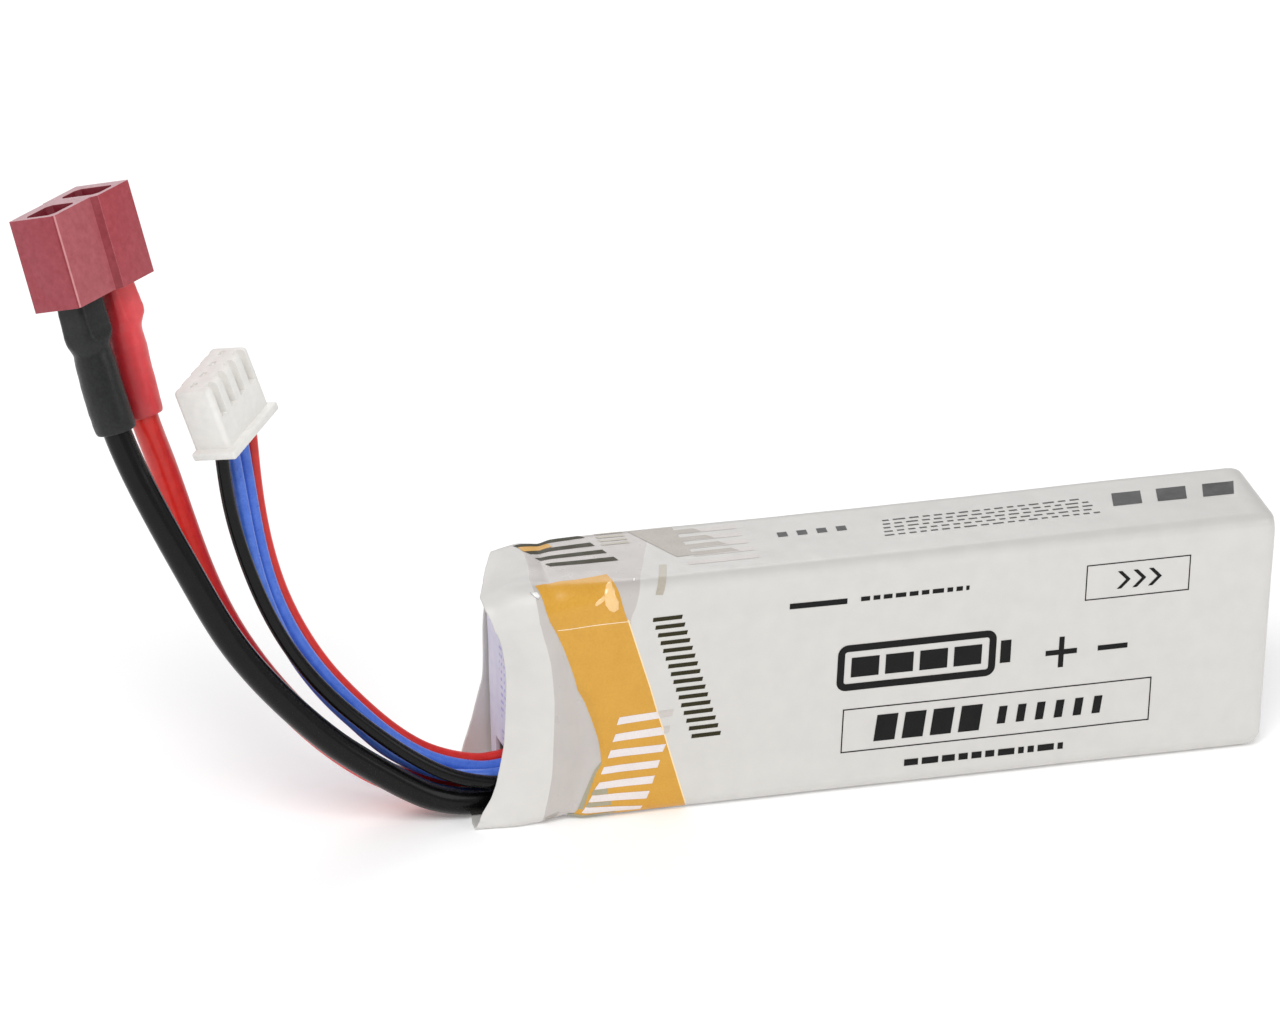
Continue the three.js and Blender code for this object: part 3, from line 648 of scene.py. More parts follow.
amber = ([], [])
left = [(-1.9, 11.0), (-0.12, 11.61), (1.23, 12.15), (2.31, 12.74), (3.83, 13.34), (5.05, 13.79), (6.19, 14.29), (7.54, 14.18), (9.32, 13.83), (10.87, 13.32), (12.74, 12.67),
        (14.84, 11.85), (16.75, 10.85), (19.07, 10.15), (23.02, 8.75), (25.47, 7.75), (28.03, 6.51), (28.66, 6.09), (29.42, 5.78), (30.25, 5.41)]
right = [(-1.9, 25.95), (-0.94, 25.61), (1.36, 24.82), (4.36, 23.82), (7.35, 22.83), (10.2, 21.91), (12.3, 21.17), (15.37, 20.21), (25.35, 16.7), (27.88, 15.8), (29.75, 15.2), (32.5, 15.0)]


def interp(tab, x):
    for (a, va), (b, vb) in zip(tab, tab[1:]):
        if a <= x <= b:
            return va + (vb - va) * (x - a) / (b - a)
    return tab[-1][1] if x > tab[-1][0] else tab[0][1]


NV = 96
for j in range(NV + 1):
    for i in range(40):
        q = i / 39
        p = -1.9 + (interp([(0, 30.25), (0.47, 31.05), (1, 32.5)], q) + 1.9) * j / NV
        a, b = interp(left, p), interp(right, p)
        amber[0].append(FN(a + (b - a) * q, p, 0.03))
amber[1].extend(grid_faces(NV + 1, 40))
ink_object("print_amber_band", amber, M["print_amber"])
cream = ([], [])
for (p0, u0), (p1, u1) in zip(right[1:8], right[2:9]):      # pale margin beside the band
    patch(cream, (u0, p0), (u0 + 0.2, p0), (u1 + 0.2, p1), (u1, p1), 0.034)
for a, b in (((7.7, 26.1), (11.1, 25.65)), ((11.1, 25.65), (14.7, 25.2)), ((14.7, 25.2), (17.1, 24.98))):
    patch(cream, a, b, (b[0], b[1] + 0.12), (a[0], a[1] + 0.12), 0.05)
ink_object("print_cream_margin", cream, M["print_cream"])

pale = ([], [])
BARS = [[(16.27, 12.11), (21.17, 12.3), (21.73, 11.37), (15.99, 11.09)], [(15.88, 9.87), (21.87, 10.14), (22.36, 9.05), (15.54, 8.83)],
        [(15.36, 7.73), (22.63, 7.74), (22.24, 6.73), (15.0, 6.68)], [(14.61, 5.54), (21.94, 5.63), (21.66, 4.6), (14.26, 4.57)],
        [(14.14, 3.48), (21.37, 3.55), (21.07, 2.48), (13.53, 2.54)], [(13.29, 1.77), (20.8, 1.51), (20.41, 0.49), (12.83, 0.87)],
        [(12.5, 0.2), (19.96, -0.46), (19.77, -1.08), (12.05, -0.75)]]
for (a, b, c, d) in BARS:
    patch(pale, d, c, b, a, 0.055)
ink_object("print_pale_bars", pale, M["print_pale"])
shade = ([], [])
for q in ([(13.13, 1.82), (15.29, 1.74), (15.25, 2.5), (13.5, 2.55)], [(12.5, 0.2), (15.79, 0.16), (15.76, 0.67), (12.81, 0.81)],
          [(11.61, -0.12), (12.2, -0.12), (13.9, 5.05), (13.6, 5.05)], [(13.6, 5.05), (13.95, 5.05), (14.4, 6.19), (14.25, 6.19)],
          [(10.6, -2.6), (14.6, -2.5), (16.6, -1.05), (10.4, -1.3)]):
    patch(shade, *q, 0.05)
ink_object("print_shade_marks", shade, M["print_shade"])


def blister(name, pts, mat, high):
    """A small blister of loose film: rings of points drawn in towards the middle and lifted."""
    mu, mp = sum(a for a, _ in pts) / len(pts), sum(b for _, b in pts) / len(pts)
    v, n = [], len(pts)
    for s_, h_ in ((1.0, 0.036), (0.86, 0.06 + 0.5 * high), (0.6, 0.06 + 0.85 * high), (0.3, 0.06 + high)):
        v += [FN(mu + (a - mu) * s_, mp + (b - mp) * s_, h_) for a, b in pts]
    v.append(FN(mu, mp, 0.06 + high))
    f = grid_faces(4, n, True) + [(3 * n + i, 3 * n + (i + 1) % n, 4 * n) for i in range(n)]
    ink_object(name, (v, f), mat)


# small raised blisters of film, coloured as painted highlights: a lighter amber glint on the band, white glints on
# little puckers
blister("film_blister_large_painted_highlight", [(14.89, 30.51), (15.01, 29.38), (15.42, 27.9), (15.48, 27.0), (14.9, 26.72), (14.3, 27.1), (13.72, 27.9), (13.59, 28.59), (13.7, 29.2), (14.04, 29.86), (14.45, 30.3)], M["film_blister_painted_highlight"], 0.1)
blister("film_blister_tail_painted_highlight", [(13.64, 28.35), (13.1, 28.12), (12.6, 28.02), (12.37, 28.12), (12.5, 28.38), (13.0, 28.56), (13.56, 28.85)], M["film_blister_painted_highlight"], 0.04)
blister("film_blister_small_painted_highlight", [(4.49, 29.8), (5.35, 29.75), (5.62, 29.47), (5.29, 29.3), (4.8, 29.5)], M["film_pucker_painted_highlight"], 0.12)
blister("film_blister_top_painted_highlight", [(18.2, 30.9), (17.9, 30.3), (17.68, 30.1), (17.66, 30.5)], M["film_pucker_painted_highlight"], 0.06)

olive = ([], [])
for k in range(16):
    t = k / 15
    u0, z0 = 20.05 + (25.94 - 20.05) * t, 26.75 + (10.2 - 26.75) * t
    patch(olive, (u0, front(z0 - 0.3)), (u0 + 3.8, front(z0 - 0.25)), (u0 + 3.9, front(z0 + 0.3)), (u0 + 0.05, front(z0 + 0.25)), 0.035)
ink_object("print_olive_bars", olive, M["print_olive"])
olive = ([], [])
for a, b, c, d in ([(6.4, 43.7), (15.2, 44.3), (15.85, 43.4), (6.84, 42.8)], [(7.21, 41.3), (16.02, 41.9), (16.32, 40.9), (7.75, 40.4)],
                   [(7.94, 39.1), (16.83, 39.6), (17.1, 38.6), (8.45, 38.2)], [(8.63, 36.95), (17.52, 37.3), (17.79, 36.2), (9.04, 35.95)]):
    patch(olive, d, c, b, a, 0.045)
patch(olive, (5.9, 45.9), (11.0, 46.1), (10.6, 46.8), (5.7, 46.6), 0.04)
ink_object("print_olive_bars_top", olive, film_material("print_olive_top", (50, 46, 20), (0.4, 0.55), 0.02, spec=0.3))

tan = ([], [])
patch(tan, (20.2, 28.11), (21.19, 28.0), (23.19, 33.63), (22.24, 33.72), 0.04)
for k in range(4):
    patch(tan, (17.2 + 0.1 * k, top(3.6 + 1.0 * k)), (20.8 + 0.05 * k, top(3.5 + 1.0 * k)), (20.8, top(4.0 + 1.0 * k)), (17.2, top(4.1 + 1.0 * k)), 0.04)
for k in range(5):   # small bars low down beside the mouth
    patch(tan, (7.25 + 0.05 * k, -0.75 - 0.42 * k), (9.15 - 0.12 * k, -0.15 - 0.42 * k), (9.1 - 0.12 * k, -0.02 - 0.42 * k), (7.25 + 0.05 * k, -0.6 - 0.42 * k), 0.035)
ink_object("print_tan_bars", tan, M["print_tan"])

grey = ([], [])
patch(grey, (25.2, top(-1.8)), (27.4, top(-1.6)), (27.4, top(6.6)), (21.6, top(6.6)), 0.04)
for k in range(4):
    y = -1.9 + 2.15 * k
    patch(grey, (27.4, top(y)), (33.4 - 0.9 * k, top(y + 0.1)), (32.6 - 0.9 * k, top(y + 1.15)), (27.4, top(y + 1.1)), 0.04)
ink_object("print_grey_bars", grey, M["print_grey"])
faint = ([], [])
for k in range(5):
    y = -4.3 + 2.2 * k
    patch(faint, (27.4 if k else 26.0, top(y)), (35.2, top(y)), (35.4, top(y + 1.0)), (27.4 if k else 26.0, top(y + 1.0)), 0.03)
patch(faint, (21.5, 11.4), (23.27, 11.48), (23.41, 12.34), (21.5, 12.3), 0.036)
patch(faint, (22.3, 9.1), (22.95, 9.28), (23.05, 10.2), (22.2, 10.14), 0.036)
ink_object("print_faint_bars", faint, film_material("print_faint", (203, 197, 193)))
on_top = ([], [])
patch(on_top, (7.1, 41.3), (11.0, 41.75), (10.8, 43.0), (6.8, 42.85), 0.05)
ink_object("print_amber_chip", on_top, M["print_amber"])

black = ([], [])
patch(black, (38.0, front(26.25)), (45.6, front(26.2)), (45.6, front(26.95)), (38.0, front(27.0)), 0.035)


def frame_lines(acc, u0, z0, u1, z1, t):
    patch(acc, (u0, front(z0)), (u1, front(z0)), (u1, front(z0 + t)), (u0, front(z0 + t)), 0.035)
    patch(acc, (u0, front(z1 - t)), (u1, front(z1 - t)), (u1, front(z1)), (u0, front(z1)), 0.035)
    patch(acc, (u0, front(z0)), (u0 + t, front(z0)), (u0 + t, front(z1)), (u0, front(z1)), 0.035)
    patch(acc, (u1 - t, front(z0)), (u1, front(z0)), (u1, front(z1)), (u1 - t, front(z1)), 0.035)


frame_lines(black, 45.9, 5.57, 87.2, 11.6, 0.16)
frame_lines(black, 77.4, 23.15, 91.4, 28.0, 0.15)
ink_object("print_black_lines", black, M["print_black"])
black = ([], [])
# neutral fine lines where small print runs on the top edge
for k in range(5):
    x, y = 52.6 + 0.3 * k, -2.0 + 1.05 * k
    run = 0.0
    while x + run < 80.5:
        w = 0.8 + 1.5 * abs(noise.noise(Vector((x * 0.7 + run * 1.3, k * 2.2, 0))))
        patch(black, (x + run, top(y)), (x + run + w, top(y)), (x + run + w, top(y + 0.34)), (x + run, top(y + 0.34)), 0.03, 3, 1)
        run += w + 0.55
# plain blocks in place of the mark near the far end of the top edge
for k in range(3):
    x = 83.6 + 6.0 * k
    patch(black, (x, top(-0.6)), (x + 3.9, top(-0.6)), (x + 5.0, top(3.0)), (x + 1.1, top(3.0)), 0.035)
for k in range(4):
    x = 39.5 + 2.6 * k
    patch(black, (x, top(0.9)), (x + 1.3, top(0.9)), (x + 1.5, top(2.2)), (x + 0.2, top(2.2)), 0.035)
ink_object("print_top_blocks", black, film_material("print_black_top", (34, 34, 34), (0.34, 0.46), 0.1))


def ring_patch(acc, u0, z0, u1, z1, r, t, lift=0.035, step=0.5):
    """A rounded rectangular outline of ink of line width t."""
    verts, faces = acc

    def loop(d):
        pts = []
        rr = max(0.02, r - d)
        for (cu, cz, a0) in ((u1 - r, z1 - r, 0), (u0 + r, z1 - r, 90), (u0 + r, z0 + r, 180), (u1 - r, z0 + r, 270)):
            for k in range(7):
                an = math.radians(a0 + 15 * k)
                pts.append((cu + rr * math.cos(an), cz + rr * math.sin(an)))
        return pts

    def dense(pts):
        out = []
        n = len(pts)
        for i in range(n):
            (x0, y0), (x1, y1) = pts[i], pts[(i + 1) % n]
            m_ = max(1, int(round(counts[i])))
            for k in range(m_):
                out.append((x0 + (x1 - x0) * k / m_, y0 + (y1 - y0) * k / m_))
        return out

    outer, inner = loop(0.0), loop(t)
    counts = [max(1, math.dist(outer[i], outer[(i + 1) % len(outer)]) / step) for i in range(len(outer))]
    outer, inner = dense(outer), dense(inner)
    base, n = len(verts), len(outer)
    for x, z in outer:
        verts.append(FN(x, front(z), lift))
    for x, z in inner:
        verts.append(FN(x, front(z), lift))
    for i in range(n):
        j = (i + 1) % n
        faces.append((base + i, base + j, base + n + j, base + n + i))


def block(acc, u0, z0, u1, z1, lean=0.0, lift=0.035):
    patch(acc, (u0, front(z0)), (u1, front(z0)), (u1 + lean, front(z1)), (u0 + lean, front(z1)), lift)


def dashes(acc, u0, u1, z0, z1, seed, lo=0.7, hi=2.2, gap=0.5):
    x = u0
    k = 0
    while x < u1:
        w = lo + (hi - lo) * min(1.0, abs(noise.noise(Vector((seed, k * 1.37, 0.5)))) * 2.0)
        w = min(w, u1 - x)
        if w > 0.3:
            block(acc, x, z0, x + w, z1)
        x += w + gap
        k += 1


signs = ([], [])
ring_patch(signs, 44.8, 14.15, 65.9, 20.45, 1.3, 0.95)         # a cell with four charge bars
block(signs, 66.5, 15.75, 67.9, 18.85)
for k in range(4):
    block(signs, 46.65 + 4.55 * k, 15.95, 50.35 + 4.55 * k, 18.65)
block(signs, 72.6, 16.05, 76.8, 16.75)                          # plus and minus
block(signs, 74.35, 14.3, 75.05, 16.05)
block(signs, 74.35, 16.75, 75.05, 18.5)
block(signs, 79.6, 16.05, 83.6, 16.75)
for k in range(4):                                              # a plain scale in the framed field
    block(signs, 50.2 + 3.75 * k, 6.75, 53.0 + 3.75 * k, 10.35, 0.35)
for k in range(6):
    block(signs, 66.6 + 2.55 * k, 7.35, 67.7 + 2.55 * k, 9.75, 0.25)
dashes(signs, 54.5, 76.5, 2.85, 3.75, 2.0)
dashes(signs, 47.4, 61.8, 26.35, 26.95, 7.0, 0.6, 1.5, 0.45)
for k in range(3):                                              # three chevrons
    x = 81.6 + 2.1 * k
    patch(signs, (x, front(24.35)), (x + 0.6, front(24.35)), (x + 1.8, front(25.55)), (x + 1.2, front(25.55)), 0.035)
    patch(signs, (x + 1.2, front(25.55)), (x + 1.8, front(25.55)), (x + 0.6, front(26.75)), (x, front(26.75)), 0.035)
ink_object("print_neutral_signs", signs, M["print_black"])

# ------------------------------------------------------------------ end cards
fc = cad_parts
for name, node, u, sgn, thick in (("front_end_card_sheet", "front_end_card", 4.5, -1, 0.5), ("rear_end_card_sheet", "rear_end_card", 102.3, 1, 1.2)):
    ny, nz = 40, 80
    v = []
    fcs = []
    hy, zz0, zz1, rad = (7.0, 0.8, 30.2, 2.2) if sgn < 0 else (7.1, 1.4, 30.1, 1.6)
    def shape(y, z):
        """Pulls a grid point inside a rounded rectangle."""
        cy_, cz_ = max(-hy + rad, min(hy - rad, y)), max(zz0 + rad, min(zz1 - rad, z))
        d = math.hypot(y - cy_, z - cz_)
        if d > rad:
            y, z = cy_ + (y - cy_) * rad / d, cz_ + (z - cz_) * rad / d
        return y, z
    for side in (0, 1):
        for j in range(nz + 1):
            for i in range(ny + 1):
                y, z = shape(-hy + 2 * hy * i / ny, zz0 + (zz1 - zz0) * j / nz)
                if sgn < 0:
                    y = 0.65 + y * 6.35 / 7.0
                bow = 0.35 * (1 - (y / hy) ** 2) * math.sin(math.pi * (z - zz0) / (zz1 - zz0)) if sgn < 0 else 0.0
                w = 0.06 * noise.noise(Vector((y * 0.3, z * 0.25, 5)))
                x = u + sgn * (bow + w + 0.1) - sgn * side * thick + ((1.0 - 2.2 * (z - zz0) / (zz1 - zz0)) if sgn < 0 else 0.0)
                v.append((x - HX, y, z))
    n1 = (nz + 1) * (ny + 1)
    def inside(i, j):
        if sgn > 0:
            return True
        yc, zc = -hy + 2 * hy * (i + 0.5) / ny, zz0 + (zz1 - zz0) * (j + 0.5) / nz
        return not (-6.3 < 0.65 + yc * 6.35 / 7.0 < 4.8 and zc < 6.7)
    keep = {(i, j) for j in range(nz) for i in range(ny) if inside(i, j)}
    def q(i, j, s):
        return s * n1 + j * (ny + 1) + i
    for (i, j) in keep:
        fcs.append((q(i, j, 0), q(i + 1, j, 0), q(i + 1, j + 1, 0), q(i, j + 1, 0)))
        fcs.append((q(i, j, 1), q(i, j + 1, 1), q(i + 1, j + 1, 1), q(i + 1, j, 1)))
        for (di, dj, a, b) in ((0, -1, (i, j), (i + 1, j)), (1, 0, (i + 1, j), (i + 1, j + 1)), (0, 1, (i + 1, j + 1), (i, j + 1)), (-1, 0, (i, j + 1), (i, j))):
            if (i + di, j + dj) not in keep:
                fcs.append((q(*a, 0), q(*a, 1), q(*b, 1), q(*b, 0)))
    o = make(name, v, fcs, [M["card"]])
    b = bmesh.new()
    b.from_mesh(o.data)
    bmesh.ops.delete(b, geom=[x for x in b.verts if not x.link_faces], context="VERTS")
    bmesh.ops.dissolve_degenerate(b, dist=1e-7, edges=b.edges)
    bmesh.ops.recalc_face_normals(b, faces=b.faces)
    b.to_mesh(o.data)
    b.free()
    smooth_by_angle(o, 40)
    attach(o, "pack")
    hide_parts(node)

# ------------------------------------------------------------------ leads
def unit(v):
    return Vector(v).normalized()


T_O = Vector((-99.66, 9.10, 70.08))
T_Z = unit((-0.2246, 0.2916, 0.9298))
T_X = Vector((0.7946, 0.6071, 0.0015)); T_X = (T_X - T_Z * T_X.dot(T_Z)).normalized()
T_Y = T_Z.cross(T_X)
B_O = Vector((-82.57, 4.02, 51.85))
B_Z = unit((-0.3508, 0.0694, 0.9339))
B_X = Vector((0.6855, 0.6985, 0.2056)); B_X = (B_X - B_Z * B_X.dot(B_Z)).normalized()
B_Y = B_Z.cross(B_X)


def t_at(x, y, z):
    return T_O + T_X * x + T_Y * y + T_Z * z


def b_at(x, y, z):
    return B_O + B_X * x + B_Y * y + B_Z * z


ROUTES = {
    'main_lead_black': [(-43.100, -3.000, 2.711), (-46.776, -3.004, 2.238), (-50.452, -3.033, 1.924), (-54.110, -3.107, 2.248), (-57.653, -3.199, 3.329), (-60.992, -3.279, 5.154), (-64.178, -3.342, 7.275), (-67.240, -3.386, 9.444), (-70.152, -3.403, 11.688), (-72.907, -3.389, 14.120), (-75.542, -3.343, 16.683), (-78.072, -3.261, 19.348), (-80.489, -3.137, 22.114), (-82.763, -2.960, 24.996), (-84.847, -2.722, 28.014), (-86.728, -2.412, 31.157), (-88.474, -2.030, 34.369), (-90.182, -1.569, 37.591), (-91.873, -1.006, 40.806), (-93.515, -0.322, 44.023), (-95.083, 0.494, 47.246), (-96.544, 1.398, 50.496), (-97.844, 2.302, 53.812), (-98.916, 3.247, 57.199), (-99.794, 4.285, 60.613), (-100.584, 5.383, 64.032)],
    'main_lead_red': [(-43.100, 2.400, 2.716), (-46.696, 1.935, 2.309), (-50.292, 1.062, 2.030), (-53.874, 0.800, 2.298), (-57.382, 0.618, 2.987), (-60.745, 0.414, 4.203), (-63.949, 0.252, 5.935), (-66.953, 0.190, 8.039), (-69.736, 0.226, 10.319), (-72.359, 0.318, 12.776), (-74.864, 0.586, 15.404), (-77.242, 1.113, 18.222), (-79.474, 1.777, 21.177), (-81.520, 2.475, 24.242), (-83.329, 3.145, 27.404), (-84.886, 3.783, 30.640), (-86.225, 4.432, 33.919), (-87.395, 5.190, 37.233), (-88.454, 6.052, 40.560), (-89.488, 6.903, 43.897), (-90.648, 7.355, 47.264), (-91.990, 7.013, 50.577), (-93.278, 6.591, 53.902), (-94.227, 7.057, 57.326), (-94.872, 8.142, 60.692), (-95.419, 9.330, 64.042)],
    'balance_lead_black': [(-42.900, -4.900, 5.864), (-45.254, -4.896, 5.540), (-47.607, -4.872, 5.150), (-49.951, -4.803, 5.059), (-52.265, -4.662, 5.450), (-54.523, -4.445, 6.076), (-56.716, -4.174, 6.977), (-58.846, -3.882, 8.146), (-60.917, -3.599, 9.493), (-62.921, -3.347, 10.960), (-64.846, -3.132, 12.502), (-66.686, -2.950, 14.069), (-68.448, -2.787, 15.635), (-70.137, -2.633, 17.267), (-71.755, -2.481, 18.971), (-73.294, -2.328, 20.745), (-74.745, -2.172, 22.593), (-76.098, -2.011, 24.512), (-77.349, -1.839, 26.499), (-78.498, -1.652, 28.545), (-79.547, -1.443, 30.642), (-80.503, -1.204, 32.780), (-81.370, -0.928, 34.951), (-82.155, -0.614, 37.148), (-82.863, -0.266, 39.367), (-83.485, 0.096, 41.608), (-84.007, 0.452, 43.876), (-84.424, 0.784, 46.169), (-84.754, 1.090, 48.480), (-85.035, 1.380, 50.799)],
    'balance_lead_blue_1': [(-42.900, -2.700, 5.864), (-45.265, -2.696, 5.535), (-47.628, -2.673, 5.128), (-49.986, -2.587, 4.977), (-52.326, -1.971, 4.883), (-54.631, -1.231, 4.926), (-56.893, -0.907, 5.615), (-59.105, -0.621, 6.625), (-61.256, -0.337, 7.842), (-63.320, -0.260, 9.376), (-65.267, -0.461, 11.237), (-67.087, -0.638, 13.123), (-68.794, -0.586, 14.848), (-70.405, -0.434, 16.572), (-71.925, -0.290, 18.378), (-73.345, -0.146, 20.263), (-74.655, 0.003, 22.225), (-75.849, 0.163, 24.259), (-76.929, 0.336, 26.355), (-77.899, 0.525, 28.503), (-78.762, 0.734, 30.694), (-79.518, 0.971, 32.922), (-80.166, 1.240, 35.180), (-80.714, 1.538, 37.460), (-81.185, 1.852, 39.756), (-81.611, 2.159, 42.062), (-82.026, 2.441, 44.372), (-82.448, 2.690, 46.686), (-82.882, 2.915, 48.999), (-83.322, 3.126, 51.313)],
    'balance_lead_blue_2': [(-42.900, -0.500, 5.864), (-45.225, -0.494, 5.543), (-47.548, -0.463, 5.141), (-49.865, -0.367, 4.996), (-52.159, 0.022, 5.259), (-54.406, 0.552, 5.729), (-56.587, 0.938, 6.524), (-58.688, 1.282, 7.656), (-60.692, 1.584, 9.046), (-62.585, 1.791, 10.625), (-64.374, 1.823, 12.330), (-66.076, 1.791, 14.072), (-67.704, 1.797, 15.787), (-69.258, 1.895, 17.516), (-70.729, 2.011, 19.312), (-72.109, 2.136, 21.178), (-73.391, 2.273, 23.112), (-74.570, 2.424, 25.110), (-75.638, 2.587, 27.167), (-76.587, 2.763, 29.281), (-77.410, 2.958, 31.446), (-78.110, 3.177, 33.652), (-78.699, 3.418, 35.888), (-79.200, 3.672, 38.143), (-79.638, 3.924, 40.412), (-80.042, 4.157, 42.689), (-80.433, 4.363, 44.972), (-80.823, 4.545, 47.256), (-81.215, 4.712, 49.541), (-81.608, 4.872, 51.827)],
    'balance_lead_red': [(-42.900, 1.700, 5.864), (-45.204, 1.707, 5.547), (-47.507, 1.745, 5.149), (-49.801, 1.860, 5.006), (-52.068, 2.275, 5.285), (-54.277, 2.857, 5.793), (-56.406, 3.294, 6.639), (-58.443, 3.654, 7.838), (-60.380, 3.942, 9.291), (-62.216, 4.137, 10.909), (-63.962, 4.163, 12.636), (-65.624, 4.108, 14.405), (-67.201, 4.072, 16.172), (-68.685, 4.127, 17.942), (-70.071, 4.236, 19.779), (-71.360, 4.359, 21.684), (-72.555, 4.495, 23.649), (-73.658, 4.638, 25.667), (-74.661, 4.787, 27.735), (-75.554, 4.947, 29.853), (-76.332, 5.120, 32.014), (-77.001, 5.309, 34.210), (-77.575, 5.507, 36.433), (-78.064, 5.706, 38.675), (-78.479, 5.896, 40.933), (-78.828, 6.068, 43.204), (-79.127, 6.220, 45.483), (-79.394, 6.359, 47.767), (-79.647, 6.490, 50.054), (-79.894, 6.618, 52.341)],
}
DIA = {"main_lead_black": 3.5, "main_lead_red": 3.5}


def lead(name, pts, dia, mat):
    cu = bpy.data.curves.new(name, "CURVE")
    cu.dimensions = "3D"
    cu.resolution_u = 10
    cu.bevel_depth = dia / 2 * MM
    cu.bevel_resolution = 8
    cu.use_fill_caps = True
    sp = cu.splines.new("BEZIER")
    sp.bezier_points.add(len(pts) - 1)
    n = len(pts)
    P = [Vector(p) * MM for p in pts]
    for i, bp in enumerate(sp.bezier_points):
        bp.co = P[i]
        t = (P[min(i + 1, n - 1)] - P[max(i - 1, 0)])
        t.normalize()
        bp.handle_left_type = bp.handle_right_type = "FREE"
        a = (P[i] - P[i - 1]).length / 3 if i else 0.0005
        c = (P[i + 1] - P[i]).length / 3 if i < n - 1 else 0.0005
        bp.handle_left = P[i] - t * a
        bp.handle_right = P[i] + t * c
    cu.materials.append(mat)
    o = link(bpy.data.objects.new(name, cu))
    length = 0.0
    for i in range(n - 1):
        length += (P[i + 1] - P[i]).length
    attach(o, "pack")
    return o, length * 1.001


# ------------------------------------------------------------------ glue-lined sleeves
def ring_xy(cx_, cy_, a, b, r, per=7):
    out = []
    for (sx, sy, a0) in ((1, 1, 0), (-1, 1, 90), (-1, -1, 180), (1, -1, 270)):
        ox, oy = cx_ + sx * (a - r), cy_ + sy * (b - r)
        for i in range(per + 1):
            t = math.radians(a0 + 90 * i / per)
            out.append((ox + r * math.cos(t), oy + r * math.sin(t)))
    return out


def glue_sleeve(name, line, prof, mat, node, seed):
    """prof: (z, reach to -x, reach to +x, half depth, corner radius)."""
    def mid(z):
        for (z0, x0, y0), (z1, x1, y1) in zip(line, line[1:]):
            if z >= z1 or (z1, x1, y1) == tuple(line[-1]):
                f = min(1.0, max(0.0, (z0 - z) / (z0 - z1)))
                return x0 + (x1 - x0) * f, y0 + (y1 - y0) * f
        return line[-1][1:]

    fine = catmull(prof, 6)
    inn = [(-16.4, 2.06, 2.06, 2.06, 1.98), (-12.0, 2.06, 2.06, 2.06, 1.98), (-7.2, 2.04, 2.04, 2.04, 1.96), (-5.4, 1.95, 1.95, 1.85, 1.5), (-0.25, 1.8, 1.8, 1.55, 0.5)]
    rings = fine + inn
    v = []
    nn = 0
    for k, (z, am, ap, b, r) in enumerate(rings):
        cx0, cy0 = mid(z)
        sx, a = cx0 + (ap - am) / 2, (ap + am) / 2
        ring = ring_xy(sx, cy0, a, b, min(r, a - 0.01, b - 0.01))
        nn = len(ring)
        for (x, y) in ring:
            if k < len(fine):
                d = Vector((x - sx, y - cy0, 0))
                w = 0.07 * noise.noise(Vector((x * 0.7 + seed, y * 0.7, z * 0.45))) + 0.035 * noise.noise(Vector((x * 2 + seed, y * 2, z * 1.4)))
                if d.length > 0:
                    d.normalize()
                x += d.x * w
                y += d.y * w
            v.append(t_at(x, y, z))
    o = make(name, v, grid_faces(len(rings), nn, True), [mat])
    b_ = bmesh.new()
    b_.from_mesh(o.data)
    b_.verts.ensure_lookup_table()
    last = (len(rings) - 1) * nn
    for j in range(nn):
        b_.faces.new((b_.verts[last + j], b_.verts[last + (j + 1) % nn], b_.verts[(j + 1) % nn], b_.verts[j]))
    bmesh.ops.recalc_face_normals(b_, faces=b_.faces)
    b_.to_mesh(o.data)
    b_.free()
    smooth_by_angle(o, 50)
    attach(o, "pack")
    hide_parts(node)
    return o


BLACK_LINE = [[-0.3, -2.8, 0], [-3.6, -2.9, 0], [-6.6, -3.002, 0.0], [-9, -3.037, 0.001], [-11.5, -3.04, 0.001], [-14, -2.975, -0.006], [-15.5, -2.888, -0.02], [-17.0, -2.762, -0.047]]
RED_LINE = [[-0.3, 3.9, 0], [-3.6, 3.9, 0], [-6.6, 3.492, 0.001], [-9, 3.293, 0.034], [-11.5, 3.114, 0.063], [-14, 3.066, 0.136], [-15.5, 3.181, 0.252], [-17.0, 3.468, 0.463]]
TAIL = [(-8.2, 2.46, 2.46, 2.46, 2.4), (-10.5, 2.52, 2.52, 2.52, 2.46), (-13.2, 2.55, 2.55, 2.55, 2.49), (-15.4, 2.55, 2.55, 2.55, 2.49),
        (-16.3, 2.50, 2.50, 2.50, 2.44), (-16.7, 2.40, 2.40, 2.40, 2.35), (-16.8, 2.24, 2.24, 2.24, 2.2)]
BLACK_PROF = [(-0.25, 2.40, 2.42, 2.05, 0.75), (-1.4, 2.46, 2.50, 2.10, 0.8), (-2.9, 2.50, 2.62, 2.14, 0.85), (-4.1, 2.54, 2.74, 2.20, 1.0), (-4.7, 2.56, 2.70, 2.30, 1.3),
              (-5.3, 2.56, 2.46, 2.36, 1.7), (-5.9, 2.48, 2.34, 2.34, 2.1), (-6.5, 2.36, 2.34, 2.34, 2.28), (-7.2, 2.40, 2.40, 2.40, 2.34)] + TAIL
RED_PROF = [(-0.25, 2.36, 2.34, 2.05, 0.9), (-1.4, 2.42, 2.46, 2.12, 1.0), (-2.8, 2.46, 2.66, 2.18, 1.1), (-4.0, 2.48, 2.86, 2.24, 1.25), (-4.6, 2.48, 2.82, 2.30, 1.45),
            (-5.2, 2.46, 2.50, 2.34, 1.8), (-5.9, 2.42, 2.28, 2.34, 2.15), (-6.6, 2.40, 2.28, 2.36, 2.25), (-7.4, 2.42, 2.38, 2.40, 2.34)] + TAIL
sl_black = glue_sleeve("glue_sleeve_black", BLACK_LINE, BLACK_PROF, M["sh_black"], "sleeve_black", 1.0)
